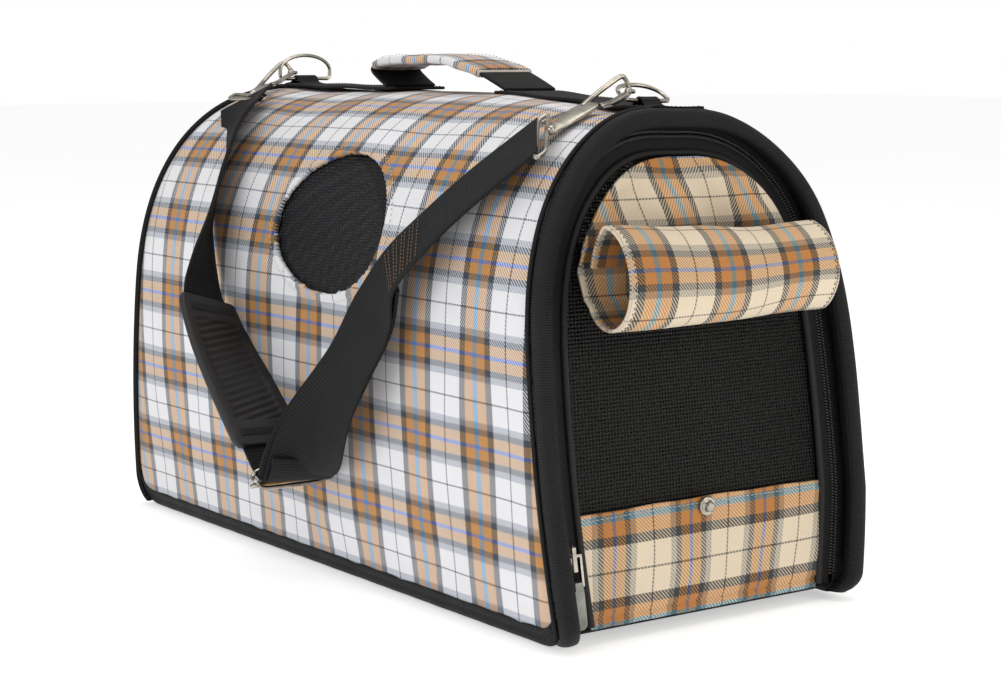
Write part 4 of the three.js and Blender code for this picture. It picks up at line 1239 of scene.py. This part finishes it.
NECK = 27.0
HOOK_WIRE = [
    (-2.5, 33, 0), (-3.2, 28, 0.6), (-3.2, 18, 2.4), (-2.4, 8, 4.2), (-1.2, 0.5, 5.6), (-0.2, -2.4, 5.6),
    (0.8, -3.9, 3.4), (1.8, -4.4, 0.6), (2.8, -4.6, -1.6), (3.6, -5.8, -2.8), (4.0, -7.2, -3.0),
]
GATE_LINE = [(4.5, NECK - 0.5, 0), (5.2, 19, -1.0), (4.2, 0.5, -1.6)]
TIP_PROFILE = [(0.1, -1.6), (1.4, -1.4), (2.1, -0.5), (2.1, 0.5), (1.4, 1.4), (0.1, 1.6)]
COLLAR_PROFILE = [(0.1, -1.6), (2.2, -1.6), (2.6, -0.8), (2.4, 0.6), (1.6, 1.6), (0.1, 1.8)]


def hook_pieces(end):
    """A snap hook: bent wire, flat body, round tip and collar, spring gate and the eye for the webbing."""
    hook = HOOKS[end]
    taper = np.r_[np.linspace(1.25, 1.0, 20), np.ones(60), np.linspace(1.0, 0.8, 10)]
    wire = in_hook(hook, spline(HOOK_WIRE, 90))
    bend = sweep(f"hook_wire_{end}", wire, circle(1.35, 12), NICKEL, scale=taper)
    body_line = in_hook(hook, [[0, y, 0] for y in np.linspace(NECK - 1, hook.long - 7.5, 24)])
    width = 0.62 + 0.38 * np.sin(PI * np.clip(np.linspace(0, 1, 24) * 1.15, 0, 1)) ** 0.6
    flat_bar = rounded(10.5, 2.2, 0.9, 6, 3, 0.2)
    body = sweep(f"hook_body_{end}", body_line, flat_bar, NICKEL, wide=hook.across, scale=width)
    tip = in_hook(hook, [[3.4, -1.6, -1.4]])[0]
    knob = turned(f"hook_tip_{end}", TIP_PROFILE, tip, hook.along, NICKEL, 16)
    neck = in_hook(hook, [[0, hook.long - 8.2, 0]])[0]
    collar = turned(f"hook_collar_{end}", COLLAR_PROFILE, neck, hook.along, NICKEL, 18)
    place(bend, "strap", f"hook_{end}", slot="nickel")
    for piece in (body, knob, collar):
        place(piece, "strap", slot="nickel")
    lever = resample(in_hook(hook, GATE_LINE), 20)
    gate = sweep(f"gate_{end}", lever, rounded(3.6, 2.2, 0.7, 3, 3), NICKEL, wide=hook.across)
    place(gate, f"gate_{end}", f"hook_gate_{end}", slot="nickel")
    low, high, half = hook.long - 5.6, hook.long + 2.2, 20.4
    loop = [
        (half, low + 1.5), (half + 0.3, high - 1.5), (half - 1.8, high), (-half + 1.8, high),
        (-half - 0.3, high - 1.5), (-half, low + 1.5), (-half + 1.8, low), (half - 1.8, low),
        (half, low + 1.5),
    ]
    loop = resample(loop, 120)[:-1]
    ring = hook.origin + loop[:, :1] * hook.bar + loop[:, 1:2] * hook.along
    eye = sweep(f"eye_{end}", ring, circle(1.2, 10), NICKEL, wide=hook.out, closed=True)
    place(eye, "strap", f"hook_eye_{end}", slot="nickel")


for end in ENDS:
    hook_pieces(end)


def past_eye(end, past):
    hook = HOOKS[end]
    return (hook.origin + hook.along * (hook.long + past), hook.bar)


REAR_LEG = [
    past_eye("rear", 1.0), ((-135, -71, 248), (0.84, 0.1, 0.45)),
    ((-118, -86, 236), (0.86, -0.28, 0.42)), ((-103, -103, 214), (0.85, -0.37, 0.37)),
    ((-92, -115, 192), (0.84, -0.50, 0.22)), ((-87, -122, 172), (0.68, -0.70, 0.2)),
    ((-83, -126, 156), (0.5, -0.82, 0.26)), ((-79, -127.5, 147), (0.38, -0.88, 0.28)),
]
PAD_LINE = [
    ((-76, -128, 147), (-0.3, 0.92, -0.25)), ((-56, -129, 124), (-0.2, 0.95, -0.16)),
    ((-30, -129, 99), (-0.1, 0.97, -0.08)), ((-2, -129, 74), (-0.05, 0.98, -0.02)),
]
LOWER_LOOP = [
    ((-8, -127.5, 79), (-0.05, 0.98, -0.02)), ((2, -127.5, 69), (0, 0.98, 0)),
    ((12, -127.5, 61), (0.02, 0.98, 0)), ((23, -127.5, 58.5), (0.05, 0.98, -0.05)),
    ((31, -128, 64), (0.1, 0.97, -0.15)), ((36, -129, 72), (0.2, 0.95, -0.2)),
]
FRONT_LEG = [
    ((24, -128, 61), (0.06, 0.98, -0.1)), ((34, -129, 70), (0.4, 0.85, -0.3)),
    ((46, -129.5, 85), (0.72, 0.5, -0.4)), ((60, -128, 105), (0.85, 0.15, -0.48)),
    ((74, -124, 127), (0.87, -0.02, -0.49)), ((90, -120, 153), (0.86, -0.05, -0.5)),
    ((103, -118, 176), (0.78, -0.38, -0.46)), ((125, -111, 198), (0.73, -0.5, -0.46)),
    ((145, -100, 218), (0.71, -0.54, -0.45)),
    past_eye("front", 0.5),
]


def strap_frames(stations, count):
    """A line through the stations, with the webbing's direction across and its face's direction."""
    both = spline([np.r_[at, np.asarray(wide) * 30.0] for at, wide in stations], count)
    line, wide = both[:, :3], unit(both[:, 3:])
    along = tangents(line, False)
    wide = unit(wide - along * np.sum(wide * along, axis=1, keepdims=True))
    return line, wide, np.cross(wide, along)


def webbing_leg(name, stations, count, thick, node=None, aside=0.0, lift=0.0, slack=0.0):
    line, wide, out = strap_frames(stations, count)
    share = np.linspace(0, 1, count)[:, None]
    line = line + wide * aside + out * (lift + slack * np.sin(PI * share))
    obj = sweep(name, line, rounded(WEB_WIDE, thick, 0.7, 12, 3), WEBBING, wide=wide)
    nodes = [node] if node else []
    return place(obj, "strap", *nodes, slot="black_webbing")


webbing_leg("leg_rear", REAR_LEG, 120, 1.8, "strap_rear_leg")
webbing_leg("loop_lower", LOWER_LOOP, 60, 1.8, "strap_lower_loop")
webbing_leg("leg_front", FRONT_LEG, 180, 1.8, "strap_front_leg", -0.6, 1.3, 0.5)
webbing_leg("leg_front_under", FRONT_LEG[:7], 110, 2.2, None, -3.6, -1.1, -0.3)


def sewn_rows(name, stations, start, end, rows, side, material):
    """Rows of stitches across the webbing, where its end is sewn back on itself."""
    line, wide, out = strap_frames(stations, 200)
    for k, i in enumerate(np.linspace(start * 199, end * 199, rows).astype(int)):
        row = line[i] + wide[i] * np.linspace(-17, 17, 16)[:, None] + out[i] * side
        stitch_row(f"{name}_{k}", row, material, "strap", 1.9, 2.9, 0.28)


sewn_rows("front_leg_sewing", FRONT_LEG, 0.59, 0.69, 9, 2.9, BROWN_THREAD)
sewn_rows("rear_leg_sewing", REAR_LEG, 0.10, 0.16, 3, 1.1, BLACK_THREAD)


PAD_WIDE, PAD_THICK = 45.5, 4.2
RIB_PITCH, RIB_HEIGHT = 4.8, 0.45


def pad():
    """The slide-on shoulder pad: a rounded rubber strip with moulded ribs and a slot at each end, drawn as a
    dark strip on each face.
    """
    count = 300
    line, wide, out = strap_frames(PAD_LINE, count)
    run = lengths(line)
    section = rounded(PAD_WIDE, PAD_THICK, 1.2, 28, 3, 0.1)
    middle = smooth(run, 15, 18) * (1 - smooth(run, run[-1] - 18, run[-1] - 15))
    ends = np.sqrt(np.clip(np.minimum(run, run[-1] - run) / 6, 0.0, 1))
    narrow = 0.86 + 0.14 * ends
    flat = np.tile(section[None], (count, 1, 1))
    inside = 1 - smooth(np.abs(flat[..., 0]), 14.5, 16.5)
    ribs = np.sin((run[:, None] + 0.3 * flat[..., 0]) / RIB_PITCH * 2 * PI)
    sunk = (RIB_HEIGHT * ribs - 0.75) * inside * middle[:, None]
    flat[..., 1] += np.sign(flat[..., 1]) * sunk
    flat[..., 0] *= narrow[:, None]
    flat[..., 1] *= 0.75 + 0.25 * ends[:, None]
    points = line[:, None] + wide[:, None] * flat[..., :1] + out[:, None] * flat[..., 1:]
    obj = tube("pad", points, flat[..., 0], run, RUBBER)
    place(obj, "strap", "shoulder_pad", slot="pad_rubber")
    # Each slot is a dark strip on the pad's face: partly the black webbing seen through it, partly painted
    # shade in the opening.
    for name, at in (("upper", 24), ("lower", count - 25)):
        for side in (1, -1):
            slot_line = line[at] + wide[at] * np.linspace(-17, 17, 24)[:, None] + out[at] * side * 2.0
            face = "outer" if side > 0 else "inner"
            section = rounded(5.5, 0.9, 0.4, 2, 2)
            along = tangents(line, False)[at]
            place(sweep(f"pad_slot_{name}_{face}", slot_line, section, LINING, wide=along), "strap")


pad()


ADJUSTER_AT = 31.0  # distance along the lower loop


def adjuster():
    """The slide adjuster: thin wire bent into a frame round the webbing, one end curled over."""
    line, wide, out = strap_frames(LOWER_LOOP, 400)
    run = lengths(line)
    at = int(np.searchsorted(run, ADJUSTER_AT))
    centre, w, o = line[at], wide[at], out[at]
    t = tangents(line, False)[at]
    half = 22.0
    shape = [
        (half, -3.2, 0.4), (half + 0.8, 0, 0), (half, 3.2, 0.4), (half - 2, 3.9, 2.6), (0, 4.0, 3.6),
        (-half + 2, 3.9, 2.6), (-half, 3.2, 0.4), (-half - 0.8, 0, 0), (-half, -3.2, 0.4),
        (-half + 2, -3.9, -2.6), (0, -4.0, -3.6), (half - 2, -3.9, -2.6), (half, -3.2, 0.4),
    ]
    loop = spline(shape, 121)[:-1]
    obj = sweep("adjuster", in_frame(centre, (w, t, o), loop), circle(1.25, 10), NICKEL, closed=True, wide=t)
    place(obj, "strap", "slide_adjuster", slot="nickel")
    bar = centre + np.linspace(-half, half, 24)[:, None] * w + o * 3.2
    middle = sweep("adjuster_bar", bar, circle(1.2, 10), BRASS)
    place(middle, "strap")
    end = -half
    curl = [(end, 0, 3.2), (end - 2.4, 1, 3.0), (end - 3.2, 3.2, 2.0), (end - 2, 4.8, 0.8), (end, 4.6, 0)]
    hooked = in_frame(centre, (w, t, o), spline(curl, 24))
    place(sweep("adjuster_curl", hooked, circle(1.1, 8), NICKEL), "strap")


adjuster()


# ---- Floor ----

FLOOR_TONES = [(0.3, (0.9, 0.9, 0.9, 1)), (0.7, (0.93, 0.93, 0.93, 1))]
FLOOR_REACH = 9000
floor_finish = Finish("floor", roughness=0.9)
floor_finish.colour(floor_finish.ramp(floor_finish.noise(3.0), FLOOR_TONES, True))
floor_finish.set("Emission Color", (1, 1, 1, 1))
floor_finish.set("Emission Strength", 0.5)
floor_corners = [(x * FLOOR_REACH, y * FLOOR_REACH, 0) for x, y in ((-1, -1), (1, -1), (1, 1), (-1, 1))]
floor = mesh("floor", floor_corners, [[0, 1, 2, 3]], floor_finish.material)
